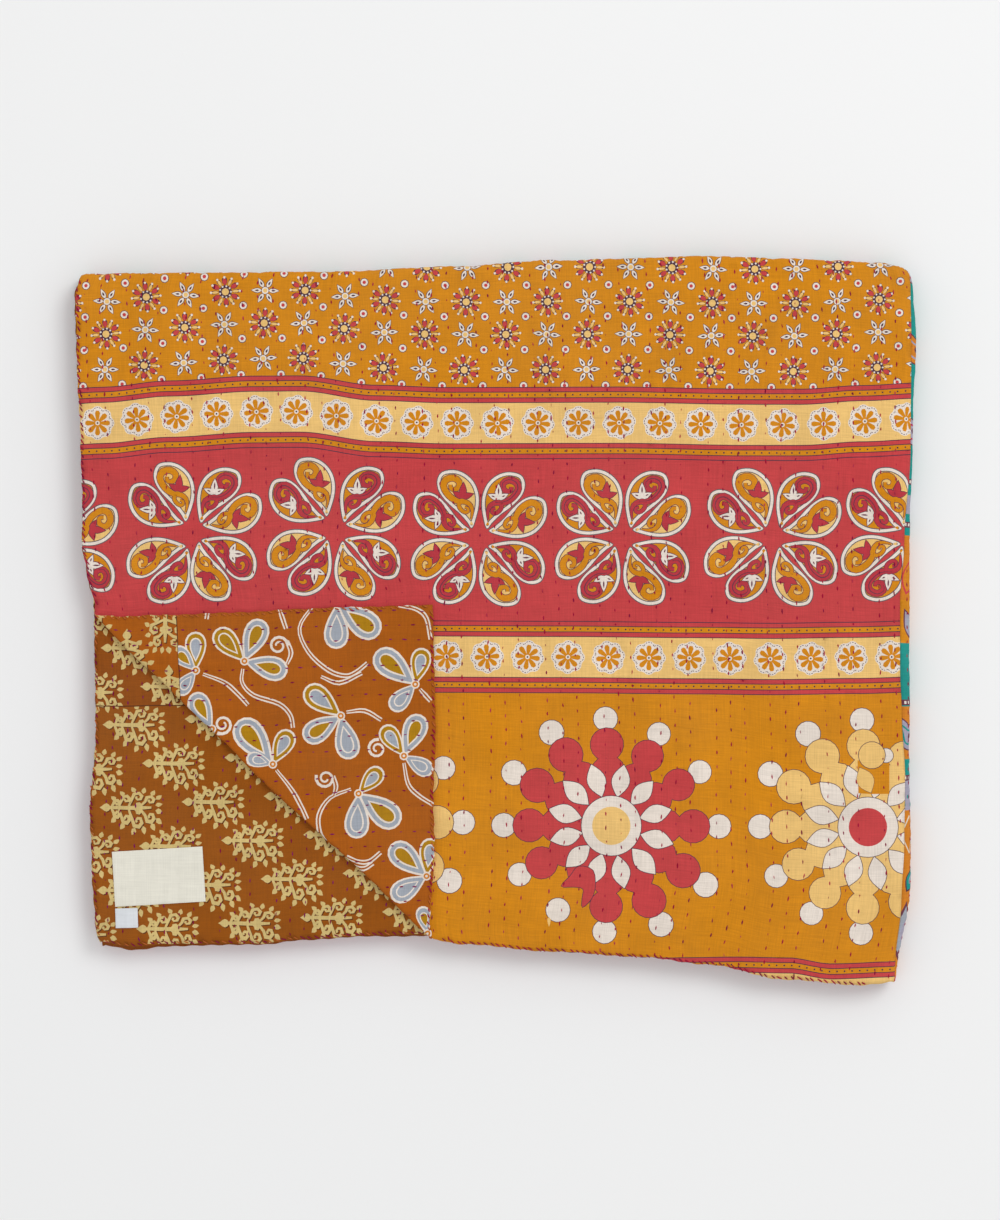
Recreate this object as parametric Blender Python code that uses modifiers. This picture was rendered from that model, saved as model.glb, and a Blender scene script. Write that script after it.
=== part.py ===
# A kantha quilt, folded for storage: a thin cotton quilt folded in half along its length, in half
# again, and then in half across its width, so that eight layers lie on each other. The near left
# corner of the top layer is turned back over itself along a 45 degree line. Where it is turned back
# the next layer shows, with a sewn-on cloth label and a small care tab below it.
#
# Frame: X to the right, Y away from the near hems, Z up, origin under the middle of the bottom
# layer. Metres.

import bmesh
import bpy
from math import cos, pi, sin, sqrt
from mathutils import Vector, noise

# The quilt as cloth: its own thickness, and the air between two layers of the stack.
THICKNESS = 0.0021
AIR = 0.0012
PITCH = THICKNESS + AIR

# The folded stack, before its outline is made uneven.
FOLDED_WIDTH = 0.633
FOLDED_DEPTH = 0.531

# The first two folds leave four layers. Heights are of a layer's middle, above the middle of the
# whole stack. The end quarters of the cloth lie outermost and next but one.
HEIGHT_FIRST = 3.5 * PITCH
HEIGHT_SECOND = 0.5 * PITCH
HEIGHT_THIRD = 1.5 * PITCH
HEIGHT_LAST = 2.5 * PITCH
OUTER_BEND = (HEIGHT_FIRST - HEIGHT_SECOND) / 2
INNER_BEND = PITCH / 2
MIDDLE_Z = HEIGHT_FIRST + THICKNESS / 2
SIDE_BEND = MIDDLE_Z

# How far the inner far fold stays behind the outer one, and how far the near fold and the hem of
# the last quarter stay behind the hem of the first quarter.
INNER_FOLD_SETBACK = 0.004
NEAR_FOLD_SETBACK = 0.006
LAST_HEM_SETBACK = 0.005

# The turned-back corner: the length of its two legs.
FLAP_LEG = 0.268

# Every layer is divided at the same widths and depths, so that all of them bend alike and stay clear
# of each other. The cells are closer at the near hems, where the outline bends most.
CELL = 0.052
NEAR_CELLS = (0.012, 0.030, 0.054)
LEAST_CELL = 0.004
CELLS_SIDE_FOLD = 6
CELLS_OUTER_FOLD = 6
CELLS_SMALL_FOLD = 4
CELLS_FLAP_FOLD = 6

# The outline of the stack seen from above. Each row is a place along the side, as a share of it,
# and how far the cloth reaches out there, beyond (plus) or inside (minus) the plain rectangle.
LEFT_REACH = [(0.00, -0.0130), (0.03, -0.0086), (0.12, -0.0066), (0.20, -0.0052), (0.32, -0.0094),
              (0.46, -0.0078), (0.51, -0.0074), (0.56, -0.0020), (0.60, 0.0014), (0.68, 0.0008),
              (0.75, 0.0018), (0.90, 0.0052), (0.97, 0.0066), (1.00, 0.0030)]
RIGHT_REACH = [(0.00, -0.012), (0.14, -0.001), (0.30, -0.002), (0.60, -0.002), (0.80, 0.001),
               (0.90, 0.003), (0.97, 0.001), (1.00, -0.002)]
NEAR_REACH = [(0.00, -0.0170), (0.04, -0.0135), (0.08, -0.0160), (0.20, -0.0172), (0.25, -0.0205),
              (0.34, -0.0238), (0.41, -0.0246), (0.455, -0.0200), (0.56, -0.0145), (0.68, -0.0110),
              (0.76, -0.0060), (0.86, 0.0060), (0.95, 0.0105), (1.00, 0.0080)]
FAR_REACH = [(0.00, 0.0010), (0.04, 0.0012), (0.30, 0.0030), (0.45, 0.0068), (0.58, 0.0122),
             (0.66, 0.0146), (0.75, 0.0154), (0.85, 0.0138), (0.96, 0.0106), (1.00, 0.0060)]

# Unevenness: the layers don't lie quite square on each other, and the stack's top is uneven.
SHIFT = 0.0022
SHIFT_SPAN = 0.19
SWELL = 0.055
SWELL_SPAN = 0.16
HEM_SINK = 0.07
HEM_SINK_SPAN = 0.06

# The two sewn-on labels: place of the middle on the exposed layer, size, and turn.
LABEL_MIDDLE = (-0.2587, -0.1926)
LABEL_SIZE = (0.0690, 0.0420)
LABEL_TURN = 0.060
TAB_MIDDLE = (-0.2832, -0.2242)
TAB_SIZE = (0.0170, 0.0150)
TAB_TURN = 0.025
LABEL_THICKNESS = 0.001
CLEARANCE = 0.0004
LABEL_CELLS = 3


def clear_scene():
    """Removes whatever the file holds at the start."""
    for thing in list(bpy.data.objects):
        bpy.data.objects.remove(thing)


def cloth_material(name, colour, roughness):
    """A plain cloth finish."""
    material = bpy.data.materials.new(name)
    material.use_nodes = True
    shader = material.node_tree.nodes["Principled BSDF"]
    shader.inputs["Base Color"].default_value = (*colour, 1.0)
    shader.inputs["Roughness"].default_value = roughness
    shader.inputs["Metallic"].default_value = 0.0
    return material


def even_rows(length, count):
    """Places that divide a stretch evenly, without its start."""
    return [length * (i + 1) / count for i in range(count)]


def shared_rows(start, end):
    """Places between two depths or widths, without the start: the ones that all layers share."""
    low, high = sorted((start, end))
    first = NEAR_CELLS[-1]
    places = [*NEAR_CELLS, *(first + CELL * (i + 1) for i in range(int(high / CELL)))]
    inside = [place for place in places if low + LEAST_CELL < place < high - LEAST_CELL]
    if start < end:
        return [place - start for place in [*inside, end]]
    return [start - place for place in [*reversed(inside), end]]


def places_on_cloth(stretches):
    """All places of the stretches, one after the other, measured along the flat cloth."""
    places = [0.0]
    for rows in stretches:
        start = places[-1]
        places += [start + row for row in rows]
    return places


def running_ends(lengths):
    """Where each named stretch ends, measured along the cloth."""
    ends = {}
    total = 0.0
    for name, length in lengths.items():
        total += length
        ends[name] = total
    return ends


# Lengths of cloth in each stretch, worked out from the folded size.
SIDE_LINE = FOLDED_WIDTH - SIDE_BEND
FAR_LINE = FOLDED_DEPTH - OUTER_BEND - THICKNESS / 2
INNER_LINE = FAR_LINE - INNER_FOLD_SETBACK
NEAR_LINE = NEAR_FOLD_SETBACK + INNER_BEND + THICKNESS / 2
LENGTHS_ACROSS = {
    "top half": SIDE_LINE,
    "side fold": pi * HEIGHT_FIRST,
    "bottom half": SIDE_LINE,
}
LENGTHS_ALONG = {
    "first quarter": FAR_LINE,
    "outer fold": pi * OUTER_BEND,
    "second quarter": FAR_LINE - NEAR_LINE,
    "near fold": pi * INNER_BEND,
    "third quarter": INNER_LINE - NEAR_LINE,
    "inner fold": pi * INNER_BEND,
    "last quarter": INNER_LINE - LAST_HEM_SETBACK,
}
ENDS_ACROSS = running_ends(LENGTHS_ACROSS)
ENDS_ALONG = running_ends(LENGTHS_ALONG)
COLUMNS = places_on_cloth([
    shared_rows(0.0, SIDE_LINE),
    even_rows(LENGTHS_ACROSS["side fold"], CELLS_SIDE_FOLD),
    shared_rows(SIDE_LINE, 0.0),
])
ROWS = places_on_cloth([
    shared_rows(0.0, FAR_LINE),
    even_rows(LENGTHS_ALONG["outer fold"], CELLS_OUTER_FOLD),
    shared_rows(FAR_LINE, NEAR_LINE),
    even_rows(LENGTHS_ALONG["near fold"], CELLS_SMALL_FOLD),
    shared_rows(NEAR_LINE, INNER_LINE),
    even_rows(LENGTHS_ALONG["inner fold"], CELLS_SMALL_FOLD),
    shared_rows(INNER_LINE, LAST_HEM_SETBACK),
])


def lengthwise_fold(along):
    """(depth, height) of a place along the cloth after it is folded in half and in half again."""
    end = ENDS_ALONG
    if along <= end["first quarter"]:
        return along, HEIGHT_FIRST
    if along <= end["outer fold"]:
        turn = (along - end["first quarter"]) / OUTER_BEND
        middle = (HEIGHT_FIRST + HEIGHT_SECOND) / 2
        return FAR_LINE + OUTER_BEND * sin(turn), middle + OUTER_BEND * cos(turn)
    if along <= end["second quarter"]:
        return FAR_LINE - (along - end["outer fold"]), HEIGHT_SECOND
    if along <= end["near fold"]:
        turn = (along - end["second quarter"]) / INNER_BEND
        middle = (HEIGHT_SECOND + HEIGHT_THIRD) / 2
        return NEAR_LINE - INNER_BEND * sin(turn), middle - INNER_BEND * cos(turn)
    if along <= end["third quarter"]:
        return NEAR_LINE + (along - end["near fold"]), HEIGHT_THIRD
    if along <= end["inner fold"]:
        turn = (along - end["third quarter"]) / INNER_BEND
        middle = (HEIGHT_THIRD + HEIGHT_LAST) / 2
        return INNER_LINE + INNER_BEND * sin(turn), middle - INNER_BEND * cos(turn)
    return INNER_LINE - (along - end["inner fold"]), HEIGHT_LAST


def crosswise_fold(across, height):
    """(width, z) after the four layers are folded in half towards the right."""
    if across <= ENDS_ACROSS["top half"]:
        return across, MIDDLE_Z + height
    if across <= ENDS_ACROSS["side fold"]:
        turn = (across - ENDS_ACROSS["top half"]) / HEIGHT_FIRST
        return SIDE_LINE + height * sin(turn), MIDDLE_Z + height * cos(turn)
    return SIDE_LINE - (across - ENDS_ACROSS["side fold"]), MIDDLE_Z - height


def corner_fold(across, along):
    """(across, along, rise) after the near left corner is turned back over the first quarter."""
    past_line = (FLAP_LEG - across - along) / sqrt(2)
    if past_line <= 0:
        return across, along, 0.0
    bend = PITCH / 2
    if past_line < pi * bend:
        reach = bend * sin(past_line / bend)
        rise = bend * (1 - cos(past_line / bend))
    else:
        reach = pi * bend - past_line
        rise = PITCH
    back = (past_line - reach) / sqrt(2)
    return across + back, along + back, rise


def table_value(rows, place):
    """The value of a two-column table at a place, on a smooth curve between its rows."""
    place = min(max(place, rows[0][0]), rows[-1][0])
    for (start, low), (end, high) in zip(rows, rows[1:]):
        if place <= end:
            share = (place - start) / (end - start)
            return low + (high - low) * share * share * (3 - 2 * share)
    return rows[-1][1]


def outlined(width, depth):
    """A place in the plain rectangle, moved so that the rectangle takes the quilt's outline."""
    s = width / FOLDED_WIDTH
    t = depth / FOLDED_DEPTH
    x = width + s * table_value(RIGHT_REACH, t) - (1 - s) * table_value(LEFT_REACH, t)
    y = depth + t * table_value(FAR_REACH, s) - (1 - t) * table_value(NEAR_REACH, s)
    return x - FOLDED_WIDTH / 2, y - FOLDED_DEPTH / 2


def uneven_height(x, y, z):
    """z in the uneven stack: the bottom layer stays flat, and the layers above it swell and sink."""
    swell = SWELL * noise.noise(Vector((x / SWELL_SPAN + 4.1, y / SWELL_SPAN + 1.7, 0.5)))
    to_hem = min(x + FOLDED_WIDTH / 2, y + FOLDED_DEPTH / 2)
    sink = HEM_SINK * max(0.0, 1 - to_hem / HEM_SINK_SPAN) ** 2
    bottom = THICKNESS / 2
    return bottom + (z - bottom) * (1 + swell - min(sink, HEM_SINK))


def layer_shift(across, along, width):
    """How far this place of the cloth lies off the true, less towards the side fold."""
    loose = min(1.0, max(0.0, (SIDE_LINE - width) / SHIFT_SPAN))
    at = Vector((across / SHIFT_SPAN, along / SHIFT_SPAN, 2.3))
    to_right = SHIFT * loose * noise.noise(at)
    away = SHIFT * loose * noise.noise(at + Vector((7.7, 3.1, 0.0)))
    return to_right, away


def folded_place(across, along):
    """Where a place of the flat cloth lies in the folded quilt."""
    across, along, rise = corner_fold(across, along)
    depth, height = lengthwise_fold(along)
    width, z = crosswise_fold(across, height + rise)
    x, y = outlined(width, depth)
    to_right, away = layer_shift(across, along, width)
    return Vector((x + to_right, y + away, uneven_height(x, y, z)))


def new_object(name, mesh_maker, thickness, offset, material, collection):
    """An object whose surface gets its thickness from a Solidify modifier."""
    mesh = bpy.data.meshes.new(name)
    mesh_maker.to_mesh(mesh)
    mesh_maker.free()
    mesh.materials.append(material)
    mesh.shade_smooth()
    thing = bpy.data.objects.new(name, mesh)
    collection.objects.link(thing)
    solid = thing.modifiers.new("thickness", "SOLIDIFY")
    solid.thickness = thickness
    solid.offset = offset
    solid.use_even_offset = True
    return thing


def cut_flat_cloth():
    """The flat cloth as a grid, closer round the folds, with the flap's fold lines cut in."""
    cloth = bmesh.new()
    bmesh.ops.create_grid(cloth, x_segments=len(COLUMNS) - 1, y_segments=len(ROWS) - 1, size=1.0)
    for point in cloth.verts:
        column = round((point.co.x + 1) / 2 * (len(COLUMNS) - 1))
        row = round((point.co.y + 1) / 2 * (len(ROWS) - 1))
        point.co = Vector((COLUMNS[column], ROWS[row], 0.0))
    for i in range(CELLS_FLAP_FOLD + 1):
        past_line = pi * PITCH / 2 * i / CELLS_FLAP_FOLD
        on_line = (FLAP_LEG - past_line * sqrt(2)) / 2
        bmesh.ops.bisect_plane(cloth, geom=cloth.verts[:] + cloth.edges[:] + cloth.faces[:],
                               dist=1e-6, plane_co=(on_line, on_line, 0), plane_no=(1, 1, 0))
    bmesh.ops.triangulate(cloth, faces=cloth.faces[:])
    return cloth


def make_quilt(collection):
    """The whole quilt: one sheet, folded, with its corner turned back."""
    cloth = cut_flat_cloth()
    for point in cloth.verts:
        point.co = folded_place(point.co.x, point.co.y)
    finish = cloth_material("printed_cotton", (0.62, 0.31, 0.045), 0.85)
    return new_object("quilt", cloth, THICKNESS, 0.0, finish, collection)


def make_label(name, middle, size, turn, material, collection):
    """A small flat label, lying on the layer that the turned-back corner leaves bare."""
    label = bmesh.new()
    bmesh.ops.create_grid(label, x_segments=LABEL_CELLS, y_segments=LABEL_CELLS, size=0.5)
    top_of_layer = MIDDLE_Z + HEIGHT_LAST
    for point in label.verts:
        across = point.co.x * size[0]
        along = point.co.y * size[1]
        x = middle[0] + across * cos(turn) - along * sin(turn)
        y = middle[1] + across * sin(turn) + along * cos(turn)
        z = uneven_height(x, y, top_of_layer) + THICKNESS / 2 + CLEARANCE
        point.co = Vector((x, y, z))
    return new_object(name, label, LABEL_THICKNESS, 1.0, material, collection)


def put_origin_under_middle(quilt, things):
    """Moves the pieces so that the origin is under the middle of the quilt's box."""
    bpy.context.view_layer.update()
    solid = quilt.evaluated_get(bpy.context.evaluated_depsgraph_get())
    corners = [Vector(corner) for corner in solid.bound_box]
    middle_x = (min(c.x for c in corners) + max(c.x for c in corners)) / 2
    middle_y = (min(c.y for c in corners) + max(c.y for c in corners)) / 2
    for thing in things:
        thing.location = (-middle_x, -middle_y, 0.0)


def main():
    clear_scene()
    quilt_parts = bpy.data.collections.new("folded_kantha_quilt")
    bpy.context.scene.collection.children.link(quilt_parts)
    quilt = make_quilt(quilt_parts)
    make_label("label", LABEL_MIDDLE, LABEL_SIZE, LABEL_TURN,
               cloth_material("label_tape", (0.86, 0.82, 0.70), 0.8), quilt_parts)
    make_label("care_tab", TAB_MIDDLE, TAB_SIZE, TAB_TURN,
               cloth_material("care_tape", (0.80, 0.83, 0.88), 0.6), quilt_parts)
    put_origin_under_middle(quilt, quilt_parts.objects)


main()
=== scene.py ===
# %% [markdown]
# # A folded kantha quilt
# A kantha quilt is made of worn saris: printed patches of thin cotton are laid on each other and
# held together by rows of small running stitches. This one is folded in half along its length, in
# half again, and then in half across its width, so that eight layers lie on each other. The near
# left corner of the top layer is turned back. The lesson folds a flat cloth in mesh code, prints
# its patches with drawn motifs, and then sews it.

# %% Load the frame that the quilt has to fit
import bpy
import numpy as np
from math import ceil, cos, pi, sin, sqrt
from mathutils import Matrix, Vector, geometry, noise


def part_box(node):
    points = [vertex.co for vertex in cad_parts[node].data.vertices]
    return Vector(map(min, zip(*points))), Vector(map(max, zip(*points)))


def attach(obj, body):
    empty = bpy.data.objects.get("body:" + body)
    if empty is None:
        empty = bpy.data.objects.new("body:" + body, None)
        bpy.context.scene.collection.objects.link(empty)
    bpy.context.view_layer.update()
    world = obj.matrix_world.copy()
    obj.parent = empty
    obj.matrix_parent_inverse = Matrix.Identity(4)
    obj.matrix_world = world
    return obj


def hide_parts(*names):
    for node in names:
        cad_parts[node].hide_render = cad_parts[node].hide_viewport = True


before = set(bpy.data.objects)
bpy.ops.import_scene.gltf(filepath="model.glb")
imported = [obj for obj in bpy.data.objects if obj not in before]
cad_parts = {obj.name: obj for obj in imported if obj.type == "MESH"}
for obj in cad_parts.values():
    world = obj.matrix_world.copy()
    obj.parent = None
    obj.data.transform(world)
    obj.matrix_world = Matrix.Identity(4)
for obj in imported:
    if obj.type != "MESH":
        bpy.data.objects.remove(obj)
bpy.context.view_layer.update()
MM = 0.001

# %% Find the middle of the quilt in the frame
# The frame's origin is under the middle of the whole solid. Its label, which lies square on its
# own middle, tells how far that is from the middle of the plain rectangle that the quilt fills.
LABEL_MIDDLE = (-0.2587, -0.1926)
label_low, label_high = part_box("label")
ORIGIN_X = (label_low.x + label_high.x) / 2 - LABEL_MIDDLE[0]
ORIGIN_Y = (label_low.y + label_high.y) / 2 - LABEL_MIDDLE[1]
print(f"origin moved by {ORIGIN_X / MM:.2f} and {ORIGIN_Y / MM:.2f} mm")

# %% [markdown]
# ## Camera, floor and light
# The quilt is seen from straight above, from about two metres, so the camera looks down with a
# long lens. The floor is plain and pale. The light is soft: a bright surrounding, and one large
# lamp from the far right that shows the ripples between the stitches.

# %% Set up the camera
CAMERA_MIDDLE = (ORIGIN_X + 0.00125, ORIGIN_Y + 0.01052)
CAMERA_ABOVE_FLOOR = 2.217
bpy.ops.object.select_all(action="DESELECT")
bpy.ops.object.camera_add(location=(*CAMERA_MIDDLE, CAMERA_ABOVE_FLOOR), rotation=(0.0, 0.0, 0.0))
camera = bpy.context.object
camera.data.lens = 85.0
camera.data.sensor_width = 36.0
camera.data.clip_end = 20.0
bpy.context.scene.camera = camera

# %% Set up the floor and the lights
FLOOR_SIZE = 12.0


def plain_material(name, colour, roughness):
    """A principled material, its node tree, and its shader."""
    material = bpy.data.materials.new(name)
    material.use_nodes = True
    tree = material.node_tree
    shader = tree.nodes["Principled BSDF"]
    shader.inputs["Base Color"].default_value = (*colour, 1.0)
    shader.inputs["Roughness"].default_value = roughness
    return material, tree, shader


def area_light(name, place, turn, size, power):
    """A large square lamp."""
    bpy.ops.object.light_add(type="AREA", location=place, rotation=turn)
    lamp = bpy.context.object
    lamp.name = name
    lamp.data.shape = "SQUARE"
    lamp.data.size = size
    lamp.data.energy = power
    return lamp


bpy.ops.mesh.primitive_plane_add(size=FLOOR_SIZE, location=(0.0, 0.0, -0.0005))
floor = bpy.context.object
floor.name = "floor"
floor.data.materials.append(plain_material("pale_floor", (0.88, 0.88, 0.88), 0.9)[0])
world = bpy.data.worlds.new("soft_room")
world.use_nodes = True
world.node_tree.nodes["Background"].inputs["Color"].default_value = (0.985, 0.99, 0.99, 1.0)
world.node_tree.nodes["Background"].inputs["Strength"].default_value = 0.79
bpy.context.scene.world = world
bpy.context.scene.view_settings.view_transform = "Standard"
area_light("window", (2.0, 1.9, 3.4), (-0.449, 0.532, 0.0), 1.8, 55.0)

# %% [markdown]
# ## Folding the cloth
# The frame's solid is one sheet, folded by a short rule: a place on the flat cloth, measured
# across and along it, goes to one place in the stack. The same rule is used here, for whole
# arrays of places at once, so that the fine cloth lies exactly where the plain solid does.

# %% The quilt's own sizes
THICKNESS = 0.0021
PITCH = 0.0033
FOLDED_WIDTH = 0.633
FOLDED_DEPTH = 0.531
HEIGHT_FIRST = 3.5 * PITCH
HEIGHT_SECOND = 0.5 * PITCH
HEIGHT_THIRD = 1.5 * PITCH
HEIGHT_LAST = 2.5 * PITCH
OUTER_BEND = (HEIGHT_FIRST - HEIGHT_SECOND) / 2
INNER_BEND = PITCH / 2
MIDDLE_Z = HEIGHT_FIRST + THICKNESS / 2
INNER_FOLD_SETBACK = 0.004
NEAR_FOLD_SETBACK = 0.006
LAST_HEM_SETBACK = 0.005
FLAP_LEG = 0.268
FLAP_BEND = PITCH / 2

# A place along a side, as a share of it, and how far the cloth reaches out there.
LEFT_REACH = [(0.00, -0.0130), (0.03, -0.0086), (0.12, -0.0066), (0.20, -0.0052), (0.32, -0.0094),
              (0.46, -0.0078), (0.51, -0.0074), (0.56, -0.0020), (0.60, 0.0014), (0.68, 0.0008),
              (0.75, 0.0018), (0.90, 0.0052), (0.97, 0.0066), (1.00, 0.0030)]
RIGHT_REACH = [(0.00, -0.012), (0.14, -0.001), (0.30, -0.002), (0.60, -0.002), (0.80, 0.001),
               (0.90, 0.003), (0.97, 0.001), (1.00, -0.002)]
NEAR_REACH = [(0.00, -0.0170), (0.04, -0.0135), (0.08, -0.0160), (0.20, -0.0172), (0.25, -0.0205),
              (0.34, -0.0238), (0.41, -0.0246), (0.455, -0.0200), (0.56, -0.0145), (0.68, -0.0110),
              (0.76, -0.0060), (0.86, 0.0060), (0.95, 0.0105), (1.00, 0.0080)]
FAR_REACH = [(0.00, 0.0010), (0.04, 0.0012), (0.30, 0.0030), (0.45, 0.0068), (0.58, 0.0122),
             (0.66, 0.0146), (0.75, 0.0154), (0.85, 0.0138), (0.96, 0.0106), (1.00, 0.0060)]
SHIFT = 0.0022
SHIFT_SPAN = 0.19
SWELL = 0.055
SWELL_SPAN = 0.16
HEM_SINK = 0.07
HEM_SINK_SPAN = 0.06

# %% Lengths of cloth in each stretch
SIDE_LINE = FOLDED_WIDTH - MIDDLE_Z
FAR_LINE = FOLDED_DEPTH - OUTER_BEND - THICKNESS / 2
INNER_LINE = FAR_LINE - INNER_FOLD_SETBACK
NEAR_LINE = NEAR_FOLD_SETBACK + INNER_BEND + THICKNESS / 2
END_TOP = SIDE_LINE
END_SIDE = END_TOP + pi * HEIGHT_FIRST
END_ACROSS = END_SIDE + SIDE_LINE
END_FIRST = FAR_LINE
END_OUTER = END_FIRST + pi * OUTER_BEND
END_SECOND = END_OUTER + FAR_LINE - NEAR_LINE
END_NEAR = END_SECOND + pi * INNER_BEND
END_THIRD = END_NEAR + INNER_LINE - NEAR_LINE
END_INNER = END_THIRD + pi * INNER_BEND
END_ALONG = END_INNER + INNER_LINE - LAST_HEM_SETBACK
print(f"the flat cloth is {END_ACROSS:.3f} m across and {END_ALONG:.3f} m along")


# %% The folding rule, for whole arrays of places
def table_values(rows, places):
    """Values of a two-column table, on a smooth curve between its rows."""
    at = np.array([row[0] for row in rows])
    value = np.array([row[1] for row in rows])
    places = np.clip(places, at[0], at[-1])
    row = np.clip(np.searchsorted(at, places, side="right") - 1, 0, len(at) - 2)
    share = (places - at[row]) / (at[row + 1] - at[row])
    return value[row] + (value[row + 1] - value[row]) * share * share * (3 - 2 * share)


def noises(x, y, z):
    """Smooth noise, from -1 to 1, at each place."""
    x, y = np.broadcast_arrays(x, y)
    found = [noise.noise((a, b, z)) for a, b in zip(x.ravel().tolist(), y.ravel().tolist())]
    return np.array(found).reshape(x.shape)


def lengthwise_fold(along):
    """(depth, height) after the cloth is folded in half and in half again."""
    outer = (along - END_FIRST) / OUTER_BEND
    near = (along - END_SECOND) / INNER_BEND
    inner = (along - END_THIRD) / INNER_BEND
    outer_middle = (HEIGHT_FIRST + HEIGHT_SECOND) / 2
    near_middle = (HEIGHT_SECOND + HEIGHT_THIRD) / 2
    inner_middle = (HEIGHT_THIRD + HEIGHT_LAST) / 2
    same = np.ones_like(along)
    stretches = [along <= end for end in
                 (END_FIRST, END_OUTER, END_SECOND, END_NEAR, END_THIRD, END_INNER)]
    depth = np.select(stretches, [
        along,
        FAR_LINE + OUTER_BEND * np.sin(outer),
        FAR_LINE - (along - END_OUTER),
        NEAR_LINE - INNER_BEND * np.sin(near),
        NEAR_LINE + (along - END_NEAR),
        INNER_LINE + INNER_BEND * np.sin(inner),
    ], INNER_LINE - (along - END_INNER))
    height = np.select(stretches, [
        HEIGHT_FIRST * same,
        outer_middle + OUTER_BEND * np.cos(outer),
        HEIGHT_SECOND * same,
        near_middle - INNER_BEND * np.cos(near),
        HEIGHT_THIRD * same,
        inner_middle - INNER_BEND * np.cos(inner),
    ], HEIGHT_LAST)
    return depth, height


def crosswise_fold(across, height):
    """(width, z) after the four layers are folded in half towards the right."""
    turn = (across - END_TOP) / HEIGHT_FIRST
    stretches = [across <= END_TOP, across <= END_SIDE]
    width = np.select(stretches, [across, SIDE_LINE + height * np.sin(turn)],
                      SIDE_LINE - (across - END_SIDE))
    z = np.select(stretches, [MIDDLE_Z + height, MIDDLE_Z + height * np.cos(turn)],
                  MIDDLE_Z - height)
    return width, z


def corner_fold(across, along):
    """(across, along, rise) after the near left corner is turned back."""
    past = (FLAP_LEG - across - along) / sqrt(2)
    on_bend = past < pi * FLAP_BEND
    reach = np.where(on_bend, FLAP_BEND * np.sin(past / FLAP_BEND), pi * FLAP_BEND - past)
    rise = np.where(on_bend, FLAP_BEND * (1 - np.cos(past / FLAP_BEND)), PITCH)
    back = np.where(past > 0, (past - reach) / sqrt(2), 0.0)
    return across + back, along + back, np.where(past > 0, rise, 0.0)


def outlined(width, depth):
    """A place in the plain rectangle, moved so that the rectangle takes the quilt's outline."""
    s = width / FOLDED_WIDTH
    t = depth / FOLDED_DEPTH
    x = width + s * table_values(RIGHT_REACH, t) - (1 - s) * table_values(LEFT_REACH, t)
    y = depth + t * table_values(FAR_REACH, s) - (1 - t) * table_values(NEAR_REACH, s)
    return x - FOLDED_WIDTH / 2, y - FOLDED_DEPTH / 2


def uneven_height(x, y, z):
    """z in the uneven stack: flat below, swelling and sinking above."""
    swell = SWELL * noises(x / SWELL_SPAN + 4.1, y / SWELL_SPAN + 1.7, 0.5)
    to_hem = np.minimum(x + FOLDED_WIDTH / 2, y + FOLDED_DEPTH / 2)
    sink = HEM_SINK * np.maximum(0.0, 1 - to_hem / HEM_SINK_SPAN) ** 2
    bottom = THICKNESS / 2
    return bottom + (z - bottom) * (1 + swell - np.minimum(sink, HEM_SINK))


def layer_shift(across, along, width):
    """How far a place of the cloth lies off the true, less towards the side fold."""
    loose = np.clip((SIDE_LINE - width) / SHIFT_SPAN, 0.0, 1.0)
    x = across / SHIFT_SPAN
    y = along / SHIFT_SPAN
    return SHIFT * loose * noises(x, y, 2.3), SHIFT * loose * noises(x + 7.7, y + 3.1, 2.3)


# %% Set the fold in the frame
def folded_place(across, along):
    """Where places of the flat cloth's middle lie in the folded quilt, one row for each."""
    across, along, rise = corner_fold(across, along)
    depth, height = lengthwise_fold(along)
    width, z = crosswise_fold(across, height + rise)
    x, y = outlined(width, depth)
    right, away = layer_shift(across, along, width)
    return np.column_stack((x + right + ORIGIN_X, y + away + ORIGIN_Y, uneven_height(x, y, z)))


def on_cloth(across, along, lift):
    """Places at a height above the middle of the cloth, towards its front."""
    step = 0.0002
    middle = folded_place(across, along)
    normal = np.cross(folded_place(across + step, along) - middle,
                      folded_place(across, along + step) - middle)
    normal /= np.linalg.norm(normal, axis=1)[:, None]
    return middle + normal * np.broadcast_to(lift, across.shape)[:, None]


# %% [markdown]
# ## From the folded quilt back to the flat cloth
# The prints are laid out as they are seen, in millimetres from the quilt's middle, but they are
# drawn on the flat cloth. So the rule has to be run backwards: a guess is folded, its error is
# taken off, and after a few rounds it is exact to a hundredth of a millimetre.

# %% Unfold seen places
LAYERS = ("top", "flap", "last")
UNFOLD_ROUNDS = 7
SEEN_MIDDLE = (0.00065, -0.00212)


def lies_on(width, depth, layer):
    """The place of the cloth that a layer has at a width and depth of the plain rectangle."""
    if layer == "last":
        return width, END_INNER + INNER_LINE - depth
    return width, depth


def unfolded(x, y, layer):
    """(across, along) of seen places on a layer."""
    x = np.asarray(x) - SEEN_MIDDLE[0]
    y = np.asarray(y) - SEEN_MIDDLE[1]
    width = x + FOLDED_WIDTH / 2
    depth = y + FOLDED_DEPTH / 2
    for _ in range(UNFOLD_ROUNDS):
        across, along = lies_on(width, depth, layer)
        right, away = layer_shift(across, along, width)
        now_x, now_y = outlined(width, depth)
        width = width + x - now_x - right
        depth = depth + y - now_y - away
    across, along = lies_on(width, depth, layer)
    if layer != "flap":
        return across, along
    total = 2 * FLAP_LEG - sqrt(2) * pi * FLAP_BEND - (across + along)
    return (total + across - along) / 2, (total - across + along) / 2


# %% [markdown]
# ## Drawing the prints
# Block prints and screen prints are flat areas of dye, one over the other, with dark outlines. So
# each motif is a few closed outlines, painted in order. An outline is an array of complex numbers
# in millimetres: turning a motif is then one product, and moving it one sum.

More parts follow.
